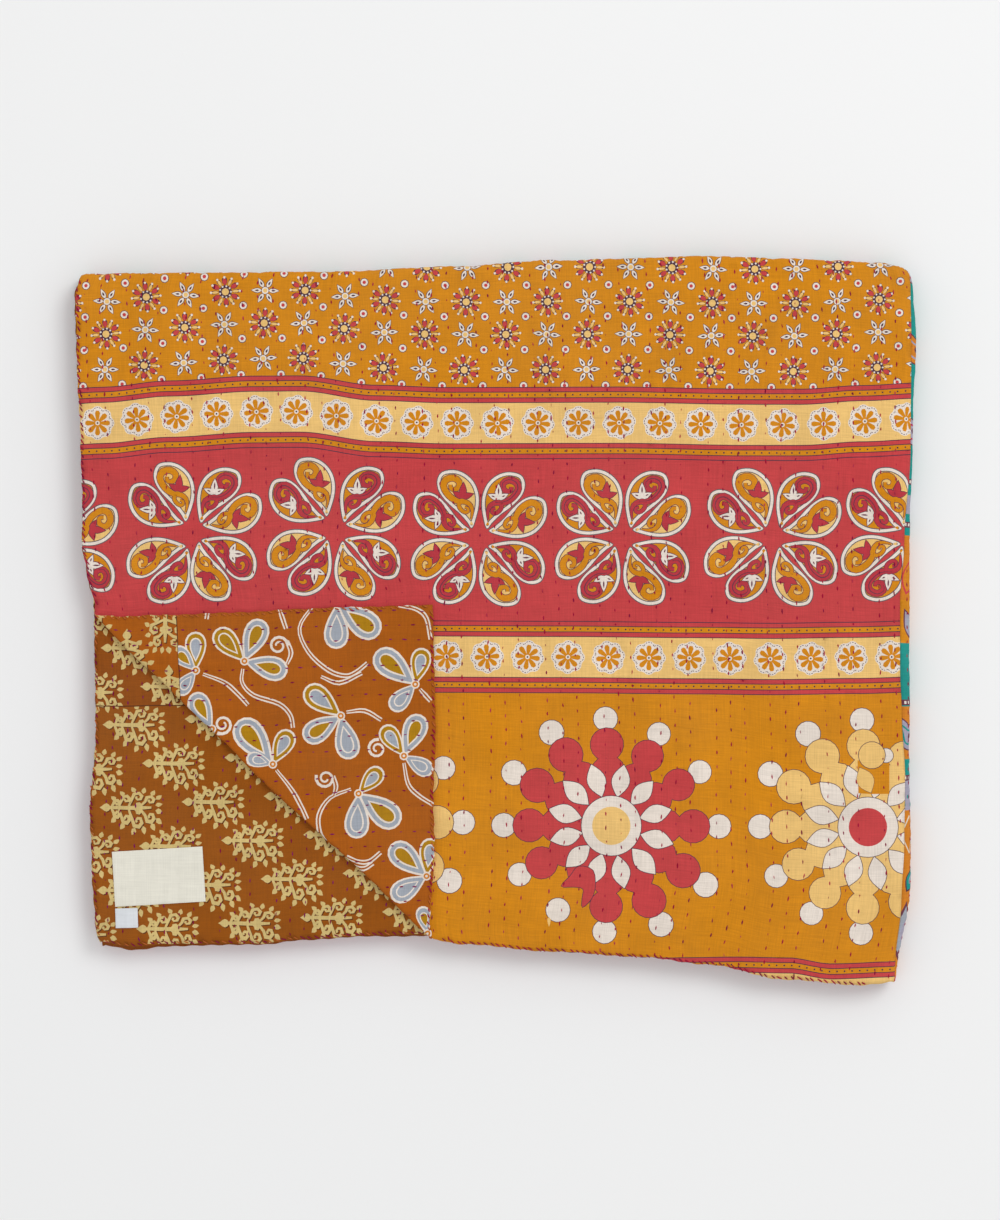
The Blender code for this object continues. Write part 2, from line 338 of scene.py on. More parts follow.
# %% Colours of the dyes
DYES = {
    "mustard": (0.635, 0.232, 0.003),
    "red": (0.545, 0.048, 0.055),
    "cream": (0.82, 0.52, 0.175),
    "white": (0.79, 0.70, 0.62),
    "dark": (0.070, 0.028, 0.055),
    "rust": (0.385, 0.092, 0.0005),
    "damask": (0.270, 0.064, 0.0005),
    "damask_light": (0.295, 0.076, 0.0005),
    "scroll": (0.64, 0.48, 0.19),
    "shade": (0.10, 0.022, 0.003),
    "olive": (0.42, 0.205, 0.001),
    "mist": (0.345, 0.375, 0.43),
    "pale": (0.72, 0.66, 0.52),
    "orange": (0.62, 0.20, 0.012),
    "teal": (0.0, 0.27, 0.24),
    "lilac": (0.36, 0.335, 0.43),
    "magenta": (0.42, 0.02, 0.10),
    "plum": (0.13, 0.030, 0.060),
    "deep": (0.47, 0.032, 0.050),
    "line": (0.105, 0.085, 0.10),
}
DYE_NAMES = list(DYES)
prints = {layer: [] for layer in (*LAYERS, "under")}
windows = {layer: {} for layer in prints}


def paint(layer, outline, dye, window=None):
    """Adds a closed outline, in millimetres as seen, to a layer's print.

    A window is the name of an outline that cuts off what lies outside it. The layer "under" is
    laid out flat, in millimetres across and along the cloth.
    """
    prints[layer].append((np.asarray(outline), dye, window))


# %% Outlines that motifs are made of
def smooth_closed(points, steps=4):
    """A smooth closed curve through a few points."""
    p = np.array(points, complex)
    before, after, next_after = np.roll(p, 1), np.roll(p, -1), np.roll(p, -2)
    curve = []
    for share in np.arange(steps) / steps:
        curve.append(0.5 * (2 * p + (after - before) * share
                            + (2 * before - 5 * p + 4 * after - next_after) * share ** 2
                            + (3 * p - before - 3 * after + next_after) * share ** 3))
    return np.array(curve).T.ravel()


def smooth_line(points, steps=4):
    """A smooth open curve through a few points."""
    p = np.array(points, complex)
    padded = np.concatenate(([2 * p[0] - p[1]], p, [2 * p[-1] - p[-2]]))
    curve = []
    for i in range(len(p) - 1):
        a, b, c, d = padded[i:i + 4]
        for share in np.arange(steps) / steps:
            curve.append(0.5 * (2 * b + (c - a) * share + (2 * a - 5 * b + 4 * c - d) * share ** 2
                                + (3 * b - a - 3 * c + d) * share ** 3))
    return np.array([*curve, p[-1]])


def ribbon(line, widths):
    """The outline of a band round a line. Its widths are spread evenly from start to end."""
    line = np.asarray(line)
    run = np.gradient(line)
    aside = 1j * run / np.abs(run)
    half = np.interp(np.linspace(0, 1, len(line)), np.linspace(0, 1, len(widths)), widths) / 2
    return np.concatenate((line - aside * half, (line + aside * half)[::-1]))


def grown(outline, by):
    """A closed outline, moved outwards by a distance all round."""
    run = np.roll(outline, -1) - np.roll(outline, 1)
    clockwise = np.sum((outline * np.conj(np.roll(outline, -1))).imag) > 0
    outwards = -1j * run / np.abs(run) * (-1 if clockwise else 1)
    return outline + outwards * by


def circle(radius, corners=14):
    """A round outline about zero."""
    return radius * np.exp(2j * pi * np.arange(corners) / corners)


def leaf(start, end, width, corners=5, fullest=0.5):
    """A pointed leaf from start to end, along the real axis."""
    share = np.linspace(0, 1, corners + 2)
    bent = share ** (np.log(0.5) / np.log(fullest))
    half = width / 2 * np.sin(pi * bent)
    spine = start + (end - start) * share
    return np.concatenate((spine - 1j * half, (spine + 1j * half)[-2:0:-1]))


def turned(degrees):
    """The factor that turns an outline about zero."""
    return np.exp(1j * np.radians(degrees))


def scalloped(middle_reach, lobe_radius, lobes, corners=6):
    """A rosette-shaped outline: overlapping round lobes about zero."""
    angle = 2 * pi * np.arange(lobes * corners) / (lobes * corners)
    off = (angle + pi / lobes) % (2 * pi / lobes) - pi / lobes
    reach = middle_reach * np.cos(off)
    reach += np.sqrt(lobe_radius ** 2 - (middle_reach * np.sin(off)) ** 2)
    return reach * np.exp(1j * angle)


# %% [markdown]
# ## The large patch: a sari's end piece
# The patch that fills the quilt's top is printed in bands across: a field of stars and rosettes,
# then borders with a row of dots, a cream band of small flowers, a red band of large ones, the
# same borders again, and a plain field with big medallions. The bands wave a little, because the
# cloth was stitched by hand, so each follows a short table of places.

# %% Where the bands run
# x and y, in millimetres from the quilt's middle, of the middle of each cream band.
UPPER_BAND = [(-330, 149.5), (-300, 150.8), (-250, 155.5), (-185, 159.2), (-150, 159.4),
              (-92, 152.2), (-40, 150.5), (90, 150.9), (190, 149.3), (232, 149.3), (276, 152.0),
              (330, 154.5)]
LOWER_BAND = [(-330, -27.0), (-60, -27.0), (50, -27.4), (150, -28.3), (210, -28.9), (270, -28.1),
              (330, -26.6)]
HEM_BORDER = [(-330, -244.0), (-50, -248.0), (4, -250.8), (33, -253.1), (57, -252.0), (92, -255.4),
              (125, -256.1), (184, -255.4), (222, -256.1), (254, -260.7), (300, -259.2),
              (330, -259.0)]
CREAM_HALF = 15.3
BORDER_HEIGHT = 12.2
BAND_START, BAND_END, BAND_STEP = -328, 330, 7


def on_band(band, x, above):
    """Places at heights above a band's middle."""
    return x + 1j * (table_values(band, np.asarray(x, float)) + above)


def paint_strip(band, top, bottom, dye, start=BAND_START, end=BAND_END):
    """A strip between two heights above a band's middle."""
    x = np.arange(start, end + BAND_STEP, BAND_STEP)
    paint("top", np.concatenate((on_band(band, x, bottom), on_band(band, x, top)[::-1])), dye)


# %% Borders
BORDER_STRIPES = [  # dye, top and bottom, in mm below the border's upper edge
    ("dark", 0.0, 12.2), ("red", 0.65, 3.55), ("mustard", 4.2, 8.0), ("red", 8.65, 11.55)]
DOT_PITCH = 5.75
DOT_RADIUS = 0.72


def paint_border(band, top):
    """Two red stripes with a dotted mustard one between them."""
    for dye, upper, lower in BORDER_STRIPES:
        paint_strip(band, top - upper, top - lower, dye)
    for x in np.arange(BAND_START, BAND_END, DOT_PITCH):
        paint("top", circle(DOT_RADIUS, 6) + on_band(band, x, top - 6.1), "dark")


def paint_bands():
    """Grounds and borders of the large patch, from the near hem to the far end."""
    red_top = -CREAM_HALF - BORDER_HEIGHT
    paint_strip(LOWER_BAND, 230.0, CREAM_HALF, "red")
    paint_strip(UPPER_BAND, 260.0, red_top + 0.5, "mustard")
    for band in (UPPER_BAND, LOWER_BAND):
        paint_strip(band, CREAM_HALF + 0.5, -CREAM_HALF - 0.5, "cream")
        paint_border(band, CREAM_HALF + BORDER_HEIGHT)
        paint_border(band, -CREAM_HALF)
    paint_border(HEM_BORDER, 0.0)
    paint_strip(HEM_BORDER, -BORDER_HEIGHT, -BORDER_HEIGHT - 40.0, "cream")


paint_bands()


# %% Small flowers of the cream bands
def paint_small_flower(middle, degrees):
    """Eight mustard petals in a white scalloped halo with dashed arcs."""
    turn = turned(degrees)
    paint("top", scalloped(8.3, 4.6, 8, 5) * turn + middle, "white")
    petal = np.array([1.6 - 0.8j, 4.6 - 1.5j, 7.6 - 2.0j, 9.4 - 1.1j,
                      9.4 + 1.1j, 7.6 + 2.0j, 4.6 + 1.5j, 1.6 + 0.8j])
    for lobe in range(8):
        aim = turn * turned(45 * lobe)
        paint("top", petal * aim + middle, "mustard")
        for dash in (-78, -40, -8, 24, 58):
            arc = 8.3 + 3.6 * np.exp(1j * np.radians([dash, dash + 19]))
            paint("top", ribbon(arc, [0.5, 0.5]) * aim + middle, "dark")
    paint("top", circle(1.75, 8) + middle, "white")
    paint("top", circle(0.75, 6) + middle, "dark")


for number in range(-1, 22):
    x = -304.4 + 30.1 * number + 0.0334 * number ** 2
    paint_small_flower(on_band(UPPER_BAND, x, 0.0), 90 + 9 * sin(2.1 * number))
for number in range(13):
    x = -38.8 + 30.8 * number
    paint_small_flower(on_band(LOWER_BAND, x, 0.0), 90 + 9 * sin(1.7 * number + 1))
print("outlines so far:", len(prints["top"]))


# %% Stars, rosettes and rings of the far field
STAR_ROWS = [13.1, 40.0, 64.8, 91.0, 117.0]
RING_ROWS = [1.0, 28.4, 53.6, 77.5, 104.0, 130.0]
FIELD_EDGE = CREAM_HALF + BORDER_HEIGHT


def paint_star(middle, degrees):
    """Six white petals with a dark mark in each, about a small disc."""
    aims = [turned(degrees + 60 * arm) for arm in range(6)]
    for aim in aims:
        paint("top", leaf(2.2, 11.1, 4.3, 4, 0.40) * aim + middle, "dark")
    for aim in aims:
        paint("top", leaf(2.6, 10.6, 3.3, 4, 0.40) * aim + middle, "white")
        paint("top", leaf(4.6, 8.0, 1.5, 2, 0.4) * aim + middle, "dark")
    paint("top", circle(3.1, 10) + middle, "dark")
    paint("top", circle(2.7, 10) + middle, "white")
    paint("top", circle(1.7, 8) + middle, "cream")


def paint_rosette(middle, degrees):
    """Red and cream rays in turn, with white tips, about a cream disc in a ring of beads."""
    for arm in range(12):
        aim = turned(degrees + 30 * arm)
        red_arm = arm % 2 == 0
        paint("top", leaf(4.4, 12.4, 4.5 if red_arm else 3.0, 2) * aim + middle, "dark")
        paint("top", leaf(4.9, 10.8, 3.6 if red_arm else 2.3, 2) * aim + middle,
              "red" if red_arm else "cream")
        paint("top", (10.9 + circle(1.0, 5)) * aim + middle, "white")
    paint("top", circle(5.1, 12) + middle, "dark")
    for bead in range(9):
        paint("top", (4.25 + circle(0.85, 4)) * turned(40 * bead) + middle, "white")
    paint("top", circle(3.4, 8) + middle, "dark")
    paint("top", circle(2.8, 8) + middle, "cream")


def paint_ring(middle):
    """A white ring round a red dot."""
    paint("top", circle(3.35, 9) + middle, "dark")
    paint("top", circle(2.85, 9) + middle, "white")
    paint("top", circle(1.45, 6) + middle, "red")


def paint_star_field():
    """Stars and rosettes like a chess board, with rings between them."""
    for column in range(-1, 22):
        x = -299.1 + 29.87 * column + 0.0555 * column ** 2
        for row, above in enumerate(STAR_ROWS):
            middle = on_band(UPPER_BAND, x + 0.03 * above, FIELD_EDGE + above)
            spin = 6 * sin(3.7 * column + 1.9 * row)
            if (column + row) % 2 == 0:
                paint_star(middle, spin)
            else:
                paint_rosette(middle, 90 + spin)
        for above in RING_ROWS:
            middle = on_band(UPPER_BAND, x - 16.4 + 0.03 * above, FIELD_EDGE + above)
            paint_ring(middle)
    paint_strip(UPPER_BAND, FIELD_EDGE, FIELD_EDGE - BORDER_HEIGHT, "dark")
    paint_border(UPPER_BAND, FIELD_EDGE)


paint_star_field()
print("outlines so far:", len(prints["top"]))

# %% Large flowers of the red band
# u runs out along the line between the two petals of a pair, v away from it, in millimetres.
BIG_PETAL = [9.4 + 1.3j, 15 + 1.9j, 24 + 2.1j, 33 + 1.1j, 42 + 1.1j, 49 + 3.0j, 54.2 + 7.4j,
             55.8 + 13.6j, 51 + 21j, 43.5 + 25.2j, 34.5 + 26j, 26 + 23j, 18.8 + 17j, 13 + 8.8j]
BIG_SCROLL = [44.6 + 11.8j, 42.6 + 10.2j, 40.0 + 11.2j, 39.0 + 14.6j, 41.6 + 18.0j, 46.8 + 16.9j,
              49.6 + 11.8j, 47.6 + 7.2j, 42.4 + 5.4j, 36.6 + 5.4j, 31.8 + 7.4j, 27.6 + 11.0j,
              22.4 + 12.2j, 17.8 + 9.6j, 14.6 + 5.4j]
BIG_CURL = [30.2 + 8.2j, 28.6 + 5.6j, 25.4 + 4.6j, 21.8 + 5.4j, 20.6 + 7.6j, 22.4 + 9.2j,
            24.6 + 8.0j]
TULIP_FOOT = 31.4 + 12.0j
TULIP_PETALS = [(47, 11.2, 5.2), (-18, 8.2, 4.4), (116, 8.6, 4.4)]  # degrees, length, width
BIG_FLOWERS = [(-341.0, 58.1), (-232.2, 68.0), (-123.0, 68.4), (-14.1, 63.1), (95.4, 63.8),
               (209.4, 63.8), (314.3, 63.8)]


def paint_big_petal(aim, mirror, middle, scroll_dye, ground_dye, tulip_dye):
    """One petal: a white rim, and inside it a scroll and a small tulip."""
    def put(outline, dye):
        outline = np.asarray(outline)
        paint("top", (np.conj(outline) if mirror else outline) * aim + middle, dye)
    edge = smooth_closed(BIG_PETAL, 3)
    put(grown(edge, 0.7), "line")
    put(edge, "white")
    put(grown(edge, -2.2), "line")
    put(grown(edge, -2.9), ground_dye)
    scroll = smooth_line(BIG_SCROLL, 2)
    curl = smooth_line(BIG_CURL, 2)
    for extra, dye in ((1.0, "plum"), (0.0, scroll_dye)):
        put(ribbon(curl, [2.8 + extra, 2.6 + extra, 1.6 + extra]), dye)
        put(ribbon(scroll, [2.4 + extra, 3.2 + extra, 4.4 + extra, 5.0 + extra, 4.6 + extra,
                            4.4 + extra, 3.0 + extra, 0.8 + extra]), dye)
    if scroll_dye == "deep":
        put(ribbon(scroll[6:-6] + 0.5j, [0.4, 0.8, 0.4]), "plum")
    for degrees, length, width in TULIP_PETALS:
        put(leaf(-1.4, length + 0.9, width + 1.2, 3, 0.4) * turned(degrees) + TULIP_FOOT, "plum")
    for degrees, length, width in TULIP_PETALS:
        put(leaf(-1.0, length, width, 3, 0.4) * turned(degrees) + TULIP_FOOT, tulip_dye)
        if tulip_dye != "deep":
            put(leaf(2.8, length - 2.6, width / 4, 2) * turned(degrees) + TULIP_FOOT, "plum")


PAIR_SLIPS = {(1, 2): 2.7 - 6.0j, (2, 1): -1.8 + 3.5j}  # flower and pair, and how it was misplaced


def paint_big_flower(number, middle, jitter):
    """Eight petals in four pairs. The two petals of a pair are mirror images in other dyes."""
    for pair in range(4):
        aim = turned(41.5 + 90 * pair + jitter)
        foot = middle + PAIR_SLIPS.get((number, pair), 0)
        paint_big_petal(aim, True, foot, "mustard", "cream", "deep")
        paint_big_petal(aim, False, foot, "deep", "mustard", "white")


for number, (x, y) in enumerate(BIG_FLOWERS):
    paint_big_flower(number, x + 1j * y, 2 * sin(5 * number))
print("outlines so far:", len(prints["top"]))

# %% Medallions of the near field
BROKEN_ARM = 8
MEDALLIONS = [  # x, y, arms and disc
    (-108.3, -152.8, "cream", "red"), (86.6, -155.8, "red", "cream"),
    (281.8, -156.8, "cream", "red")]


def medallion_arms(start):
    """Twelve aims. The block was drawn by hand, so they crowd and stretch a little."""
    arms = []
    for arm in range(12):
        degrees = start + 30 * arm + 3.4 * sin(pi / 6 * arm)
        arms.append(turned(degrees) * (1 + 0.04 * cos(2 * np.radians(degrees - 138))))
    return arms


def paint_medallion(middle, arm_dye, disc_dye):
    """Twelve arms of beads about a disc, with white leaves between them."""
    broken = arm_dye == "red"
    arms = medallion_arms(-0.3)
    whole = [aim for arm, aim in enumerate(arms) if not (broken and arm == BROKEN_ARM)]
    for aim in whole:
        paint("top", (81.5 + circle(9.6, 16)) * aim + middle, "dark")
        paint("top", (81.5 + circle(9.1, 16)) * aim + middle, "white")
    for aim in whole:
        paint("top", (62.0 + circle(13.0, 18)) * aim + middle, "dark")
    for aim in arms:
        paint("top", (41.5 + circle(13.0, 12)) * aim + middle, "dark")
    for aim in arms:
        paint("top", (41.5 + circle(12.5, 12)) * aim + middle, arm_dye)
    paint("top", circle(40, 24) + middle, arm_dye)
    for aim in whole:
        paint("top", (62.0 + circle(12.5, 18)) * aim + middle, arm_dye)
    for arm, aim in enumerate(arms):
        between = (aim + arms[(arm + 1) % 12]) / 2 * 1.035
        paint("top", leaf(22.0, 49.0, 14.8, 7) * between + middle, "dark")
        paint("top", leaf(22.8, 48.2, 13.8, 7) * between + middle, "white")
    paint("top", circle(23.2, 36) + middle, "dark")
    paint("top", circle(22.7, 36) + middle, "white")
    paint("top", circle(14.6, 28) + middle, disc_dye)


def paint_misprints():
    """Where the cloth had creased under the block: a broken arm, and a pleat that slipped."""
    broken = 86.6 - 155.8j
    horns = smooth_closed([-25 - 31j, -31 - 38j, -38 - 46j, -29 - 46.5j, -21.5 - 48j, -22 - 55j,
                           -22 - 62j, -15.5 - 56j, -12.5 - 47j, -14 - 34j], 3)
    paint("top", grown(horns, 0.5) + broken, "dark")
    paint("top", horns + broken, "red")
    for grow, dye in ((0.5, "dark"), (0.0, "white")):
        paint("top", circle(9.1 + grow, 18) - 40.6 - 64.1j + broken, dye)
    paint("top", leaf(-4, 3.5, 2.6, 4, 0.3) * turned(-90) + 39.2 - 229.3j, "cream")
    pleat = np.array([274.0 - 106.0j, 274.6 - 131.0j, 298.0 - 131.5j, 298.2 - 106.0j])
    paint("top", pleat, "mustard")
    for middle, radius, dye in ((295.6 - 102.3j, 5.4, "white"), (284.9 - 102.1j, 10.1, "cream")):
        paint("top", circle(radius + 0.5, 18) + middle, "dark")
        paint("top", circle(radius, 18) + middle, dye)
    for grow, dye in ((0.5, "dark"), (0.0, "cream")):
        paint("top", leaf(-grow, 21 + grow, 13 + grow, 6) * turned(-66) + 275.6 - 111.5j, dye)


for x, y, arm_dye, disc_dye in MEDALLIONS:
    paint_medallion(x + 1j * y, arm_dye, disc_dye)
paint_misprints()
paint_border(HEM_BORDER, 0.0)
paint_strip(HEM_BORDER, -BORDER_HEIGHT, -BORDER_HEIGHT - 40.0, "cream")
print("outlines so far:", len(prints["top"]))

# %% [markdown]
# ## The other side of the cloth
# The turned-back corner shows the cloth's reverse: a rust sari with grey and olive flowers, sewn at
# its left to a brown one with a scrolling leaf pattern. The layer below, which shows in the near
# left corner, is the brown sari again.

# %% Damask: a pointed sprig of curls, in rows
STEM = [-22, -10, 4 + 0.5j, 16]
CURLS = [  # foot on the stem, middle and radius of the curl
    (-17, -12.2 + 4.4j, 3.0), (-11, -4.6 + 7.8j, 4.0), (-3, 5.0 + 9.8j, 4.9),
    (6, 15.2 + 6.8j, 4.5), (1, 5.6 + 2.2j, 1.8)]
FLAMES = [  # foot, degrees, length
    (-14.0 + 8.0j, 140, 4.0), (-7.0 + 12.2j, 130, 4.2), (2.0 + 15.6j, 120, 4.4),
    (9.5 + 14.4j, 78, 4.8), (16.5 + 12.2j, 62, 4.8), (20.8 + 8.6j, 40, 4.8), (20.6 + 2.4j, 12, 4.6)]
TIP = (-26.5, -17.0, 6.0)
CURL_FIRST_ANGLE = 195
CURL_TURNS = -1.15
CURL_SHRINKS_TO = 0.25
SPRIG_SCALE = 0.93
UPPER_HALF, LOWER_HALF = 0.86, -1.16
UNDERPRINT = 0.7 - 0.7j
CURL_CORNERS = 10


def spiral(start, middle, turns, corners=8):
    """A curl from its start, winding in round its middle."""
    share = np.linspace(0, 1, corners)
    arm = start - middle
    return middle + arm * (1 - (1 - CURL_SHRINKS_TO) * share) * np.exp(2j * pi * turns * share)


def damask_parts():
    """Outlines of one sprig, 50 mm long, with its tip to the left."""
    parts = [ribbon(smooth_line(STEM, 2), [1.8, 2.8, 2.4, 1.6]), leaf(*TIP, 4, 0.6)]
    for foot, middle, radius in CURLS:
        curl = spiral(middle + radius * turned(CURL_FIRST_ANGLE), middle, CURL_TURNS)
        parts.append(ribbon(np.concatenate(([foot], curl)), [1.6, 3.1, 3.0, 2.0, 1.9]))
    for foot, degrees, length in FLAMES:
        parts.append(leaf(-1.4, length, 4.2, 2, 0.42) * turned(degrees) + foot)
    both = []
    for half in (UPPER_HALF, LOWER_HALF):
        both += [SPRIG_SCALE * (part.real + 1j * half * part.imag) for part in parts]
    return both


def paint_damask(layer, window, first, along_row, next_row, aim, mirror, reach=(8, 8)):
    """Motifs in a lattice, all turned and mirrored alike, cut off at a window."""
    parts = damask_parts()
    xs, ys = windows[layer][window].real, windows[layer][window].imag
    for i in range(-reach[0], reach[0] + 1):
        for j in range(-reach[1], reach[1] + 1):
            middle = first + i * along_row + j * next_row
            if not (xs.min() - 26 < middle.real < xs.max() + 26
                    and ys.min() - 26 < middle.imag < ys.max() + 26):
                continue
            for offset, dye in ((UNDERPRINT, "shade"), (0, "scroll")):
                for part in parts:
                    if dye == "shade" and len(part) < CURL_CORNERS:
                        continue
                    part = np.conj(part) if mirror else part
                    paint(layer, part * aim + middle + offset, dye, window)


# %% The brown patches
FLAP_SEAM = [-244.3 + 12j, -242.4 - 30j, -240.4 - 64j]
CORNER_SEAM = [-330 - 64.4j, -290 - 64.9j, -250 - 64.3j, -200 - 64.8j, -150 - 64.6j]
windows["flap"]["left_of_seam"] = np.array([*FLAP_SEAM, -330 - 64j, -330 + 20j])
windows["flap"]["right_of_seam"] = np.array([*FLAP_SEAM, -240 - 300j, -20 - 300j, -20 + 30j,
                                             -244.3 + 30j])
windows["last"]["above_seam"] = np.array([*CORNER_SEAM, -150 + 20j, -330 + 20j])
windows["last"]["below_seam"] = np.array([*CORNER_SEAM, -20 - 100j, -20 - 290j, -330 - 290j])
paint("last", windows["last"]["below_seam"], "damask_light")
paint_damask("last", "above_seam", -277.8 - 20.5j, 30.1 - 29.4j, 63.1j, 1, False)
paint_damask("last", "below_seam", -276.3 - 79.0j, 30.1 - 29.4j, -2.3 - 63.1j, 1, False)
paint_damask("flap", "left_of_seam", -281.6 - 30.4j, 31.9 - 27.4j, 28.9 + 28.9j, turned(-90), True)
for seam, layer in ((FLAP_SEAM, "flap"), (CORNER_SEAM, "last")):
    line = smooth_line(seam, 4)
    paint(layer, ribbon(line, [0.8, 0.8]), "shade")
print("outlines of the brown patches:", len(prints["flap"]) + len(prints["last"]))

# %% Flowers of the rust patch
FLAP_FLOWERS = [  # middle, then each petal's tip and the dyes of its ring and its heart
    (-229.4 - 37.5j, [(-229.4 - 8.4j, "olive", "mist"), (-245.9 - 20.5j, "mist", "olive"),
                      (-242.8 - 55.5j, "mist", "mist")]),
    (-192.3 - 30.4j, [(-179.0 + 0.8j, "mist", "olive"), (-160.0 - 38.8j, "mist", "olive"),
                      (-213.9 - 6.8j, "olive", "olive")]),
    (-122.0 + 12.9j, [(-122.7 - 20.8j, "mist", "mist"), (-90.1 - 9.9j, "mist", "olive")]),
    (-62.5 - 48.0j, [(-92.3 - 23.6j, "mist", "olive"), (-56.2 - 20.8j, "olive", "mist"),
                     (-80.6 - 67.2j, "mist", "mist")]),
    (-119.1 - 72.0j, [(-145.7 - 50.7j, "olive", "mist"), (-146.8 - 89.7j, "mist", "olive"),
                      (-111.6 - 104.6j, "mist", "mist")]),
    (-170.8 - 108.8j, [(-196.9 - 75.8j, "mist", "olive"), (-157.5 - 83.2j, "olive", "mist"),
                       (-190.5 - 103.4j, "mist", "mist")]),
    (-71.1 - 102.4j, [(-87.0 - 80.0j, "olive", "mist"), (-58.3 - 71.4j, "mist", "olive"),
                      (-49.8 - 115.2j, "mist", "mist")]),
    (-105.6 - 131.1j, [(-88.2 - 112.0j, "olive", "mist"), (-74.9 - 154.3j, "mist", "olive"),
                       (-107.5 - 164.9j, "mist", "mist")]),
    (-53.9 - 193.8j, [(-80.9 - 170.2j, "mist", "olive"), (-50.2 - 165.3j, "olive", "mist"),
                      (-80.2 - 210.5j, "mist", "mist")]),
    (-53.1 - 237.4j, [(-57.6 - 217.1j, "mist", "olive")]),
    (-217 - 82j, [(-231 - 55j, "mist", "olive")])]
FLAP_STEMS = [
    [-223.8 - 40.3j, -207.9 - 46.4j, -198.7 - 54j, -189.6 - 63.8j],
    [-193.6 - 36.3j, -194 - 47j, -185.1 - 56.5j, -166.1 - 62.9j, -157.5 - 71.4j, -155.4 - 81.1j],
    [-140.4 + 11.4j, -150.5 - 5.3j, -143.6 - 23.6j, -128.8 - 37.2j, -115.9 - 41.6j,
     -107.5 - 38.8j, -98.8 - 31.9j],
    [-134.1 - 42.2j, -120.2 - 47j, -103.1 - 39.5j],
    [-166.5 + 11.4j, -160.7 - 5.9j],
    [-220 + 9.1j, -221.2 + 1.5j],
    [-114.8 - 69.2j, -100.9 - 68.2j, -88.2 - 75.2j],
    [-58.9 - 51.7j, -50.8 - 60.8j],
    [-168.1 - 113.2j, -156.4 - 128j, -149.3 - 140.6j, -144.6 - 150.4j],
    [-71.1 - 107.8j, -67.9 - 123.7j, -60.4 - 132.2j, -48.6 - 139.8j],
    [-111.3 - 127.7j, -127.3 - 134.4j, -135.7 - 147.2j, -135.1 - 160j, -130.3 - 167.2j],
    [-124.3 - 132.2j, -122.7 - 125.4j, -125 - 117.8j],
    [-75.3 + 11.7j, -61.9 + 9.1j, -54 + 2.1j, -50.8 - 13.9j],
    [-114.4 - 178.6j, -106 - 182.8j, -97.5 - 182.6j, -88.8 - 175.8j],
    [-109.1 - 186.2j, -101.5 - 188.1j, -94.5 - 184.1j],
    [-160 - 32.7j, -156.9 - 24.3j, -160 - 15.2j]]
FLAP_SPIRALS = [-166.5 - 18.7j, -91.4 - 97.1j, -130.8 - 119.5j, -209.0 - 78.6j, -49.4 - 233.7j]


def drop(start, end, width, corners=20):
    """A petal from start to end along the real axis: narrow at first, and round at its tip."""
    angle = 2 * pi * np.arange(corners) / corners
    share = (1 - np.cos(angle)) / 2
    return start + (end - start) * share + 0.625j * width * np.sin(angle) * share ** 0.6


def paint_flap_petal(middle, tip, ring_dye, heart_dye):
    """One petal in four outlines, each inside the last."""
    length = abs(tip - middle)
    aim = (tip - middle) / length
    for start, inset, width, dye in ((-0.03, -0.4, 0.61, "white"), (0.05, 1.2, 0.51, ring_dye),
                                     (0.22, 4.3, 0.34, "white"), (0.28, 5.3, 0.26, heart_dye)):
        outline = drop(start * length, length - inset, width * length)
        paint("flap", outline * aim + middle, dye, "right_of_seam")


def paint_flap_print():
    """Stems first, then petals, and the flowers' eyes last."""
    for points in FLAP_STEMS:
        line = smooth_line(points, 4)
        paint("flap", ribbon(line, [2.4, 3.7, 3.2]), "white", "right_of_seam")
        paint("flap", ribbon(line, [0.7, 1.3, 1.0]), "rust", "right_of_seam")
    for number, middle in enumerate(FLAP_SPIRALS):
        line = spiral(middle + 7.4 * turned(80 * number), middle, 1.5, 20)
        paint("flap", ribbon(line, [2.3, 1.8, 1.4]), "white", "right_of_seam")
    for middle, petals in FLAP_FLOWERS:
        for tip, ring_dye, heart_dye in petals:
            paint_flap_petal(middle, tip, ring_dye, heart_dye)
    for middle, petals in FLAP_FLOWERS:
        for radius, dye in ((3.4, "white"), (2.3, "orange"), (1.0, "white")):
            paint("flap", circle(radius, 12) + middle, dye, "right_of_seam")


paint_flap_print()
print("outlines of the turned-back corner:", len(prints["flap"]))

# %% [markdown]
# ## The side and the underside
# A patch of another sari goes round the right side and covers the underside. Only a strip of it
# shows in the photo: teal bands with rows of white squares, and paisleys and leaves between them.
# The rows here take their order, places and dyes from that strip. Inner layers are plain saris.

# %% Rows of the side patch
SIDE_START, SIDE_END = 600, 1285
STRIP_MIDDLE = 634
PAISLEY = [-11, -8 - 7.5j, 1 - 10j, 9 - 6j, 11.5 + 2j, 6 + 7.5j, -1 + 7.8j, -7 + 11.5j, -14 + 15j,
           -15.5 + 10j, -12.5 + 5.5j]
LEAF_ROWS = [  # along, pitch, length, degrees, then outline, body and heart dyes
    (302, 31, 30, 70, "red", "orange", "mustard"), (266, 26, 27, 120, "plum", "lilac", "mist"),
    (77, 24, 22, 60, "dark", "teal", "lilac"), (38, 33, 46, 100, "plum", "mist", "lilac")]
PLAIN_ROWS = [  # lower edge, upper edge, dye
    (-20, 4.5, "red"), (4.5, 60, "orange"), (60, 92, "orange"), (92, 128, "orange"), (128, 150, "lilac"),
    (150, 166, "teal"), (166, 205, "orange"), (205, 252, "teal"), (252, 284, "mustard"),
    (284, 332, "orange"), (332, 348, "teal"), (348, 362, "lilac"), (362, 760, "teal")]
SQUARE_ROWS = [152, 208, 340, 372]
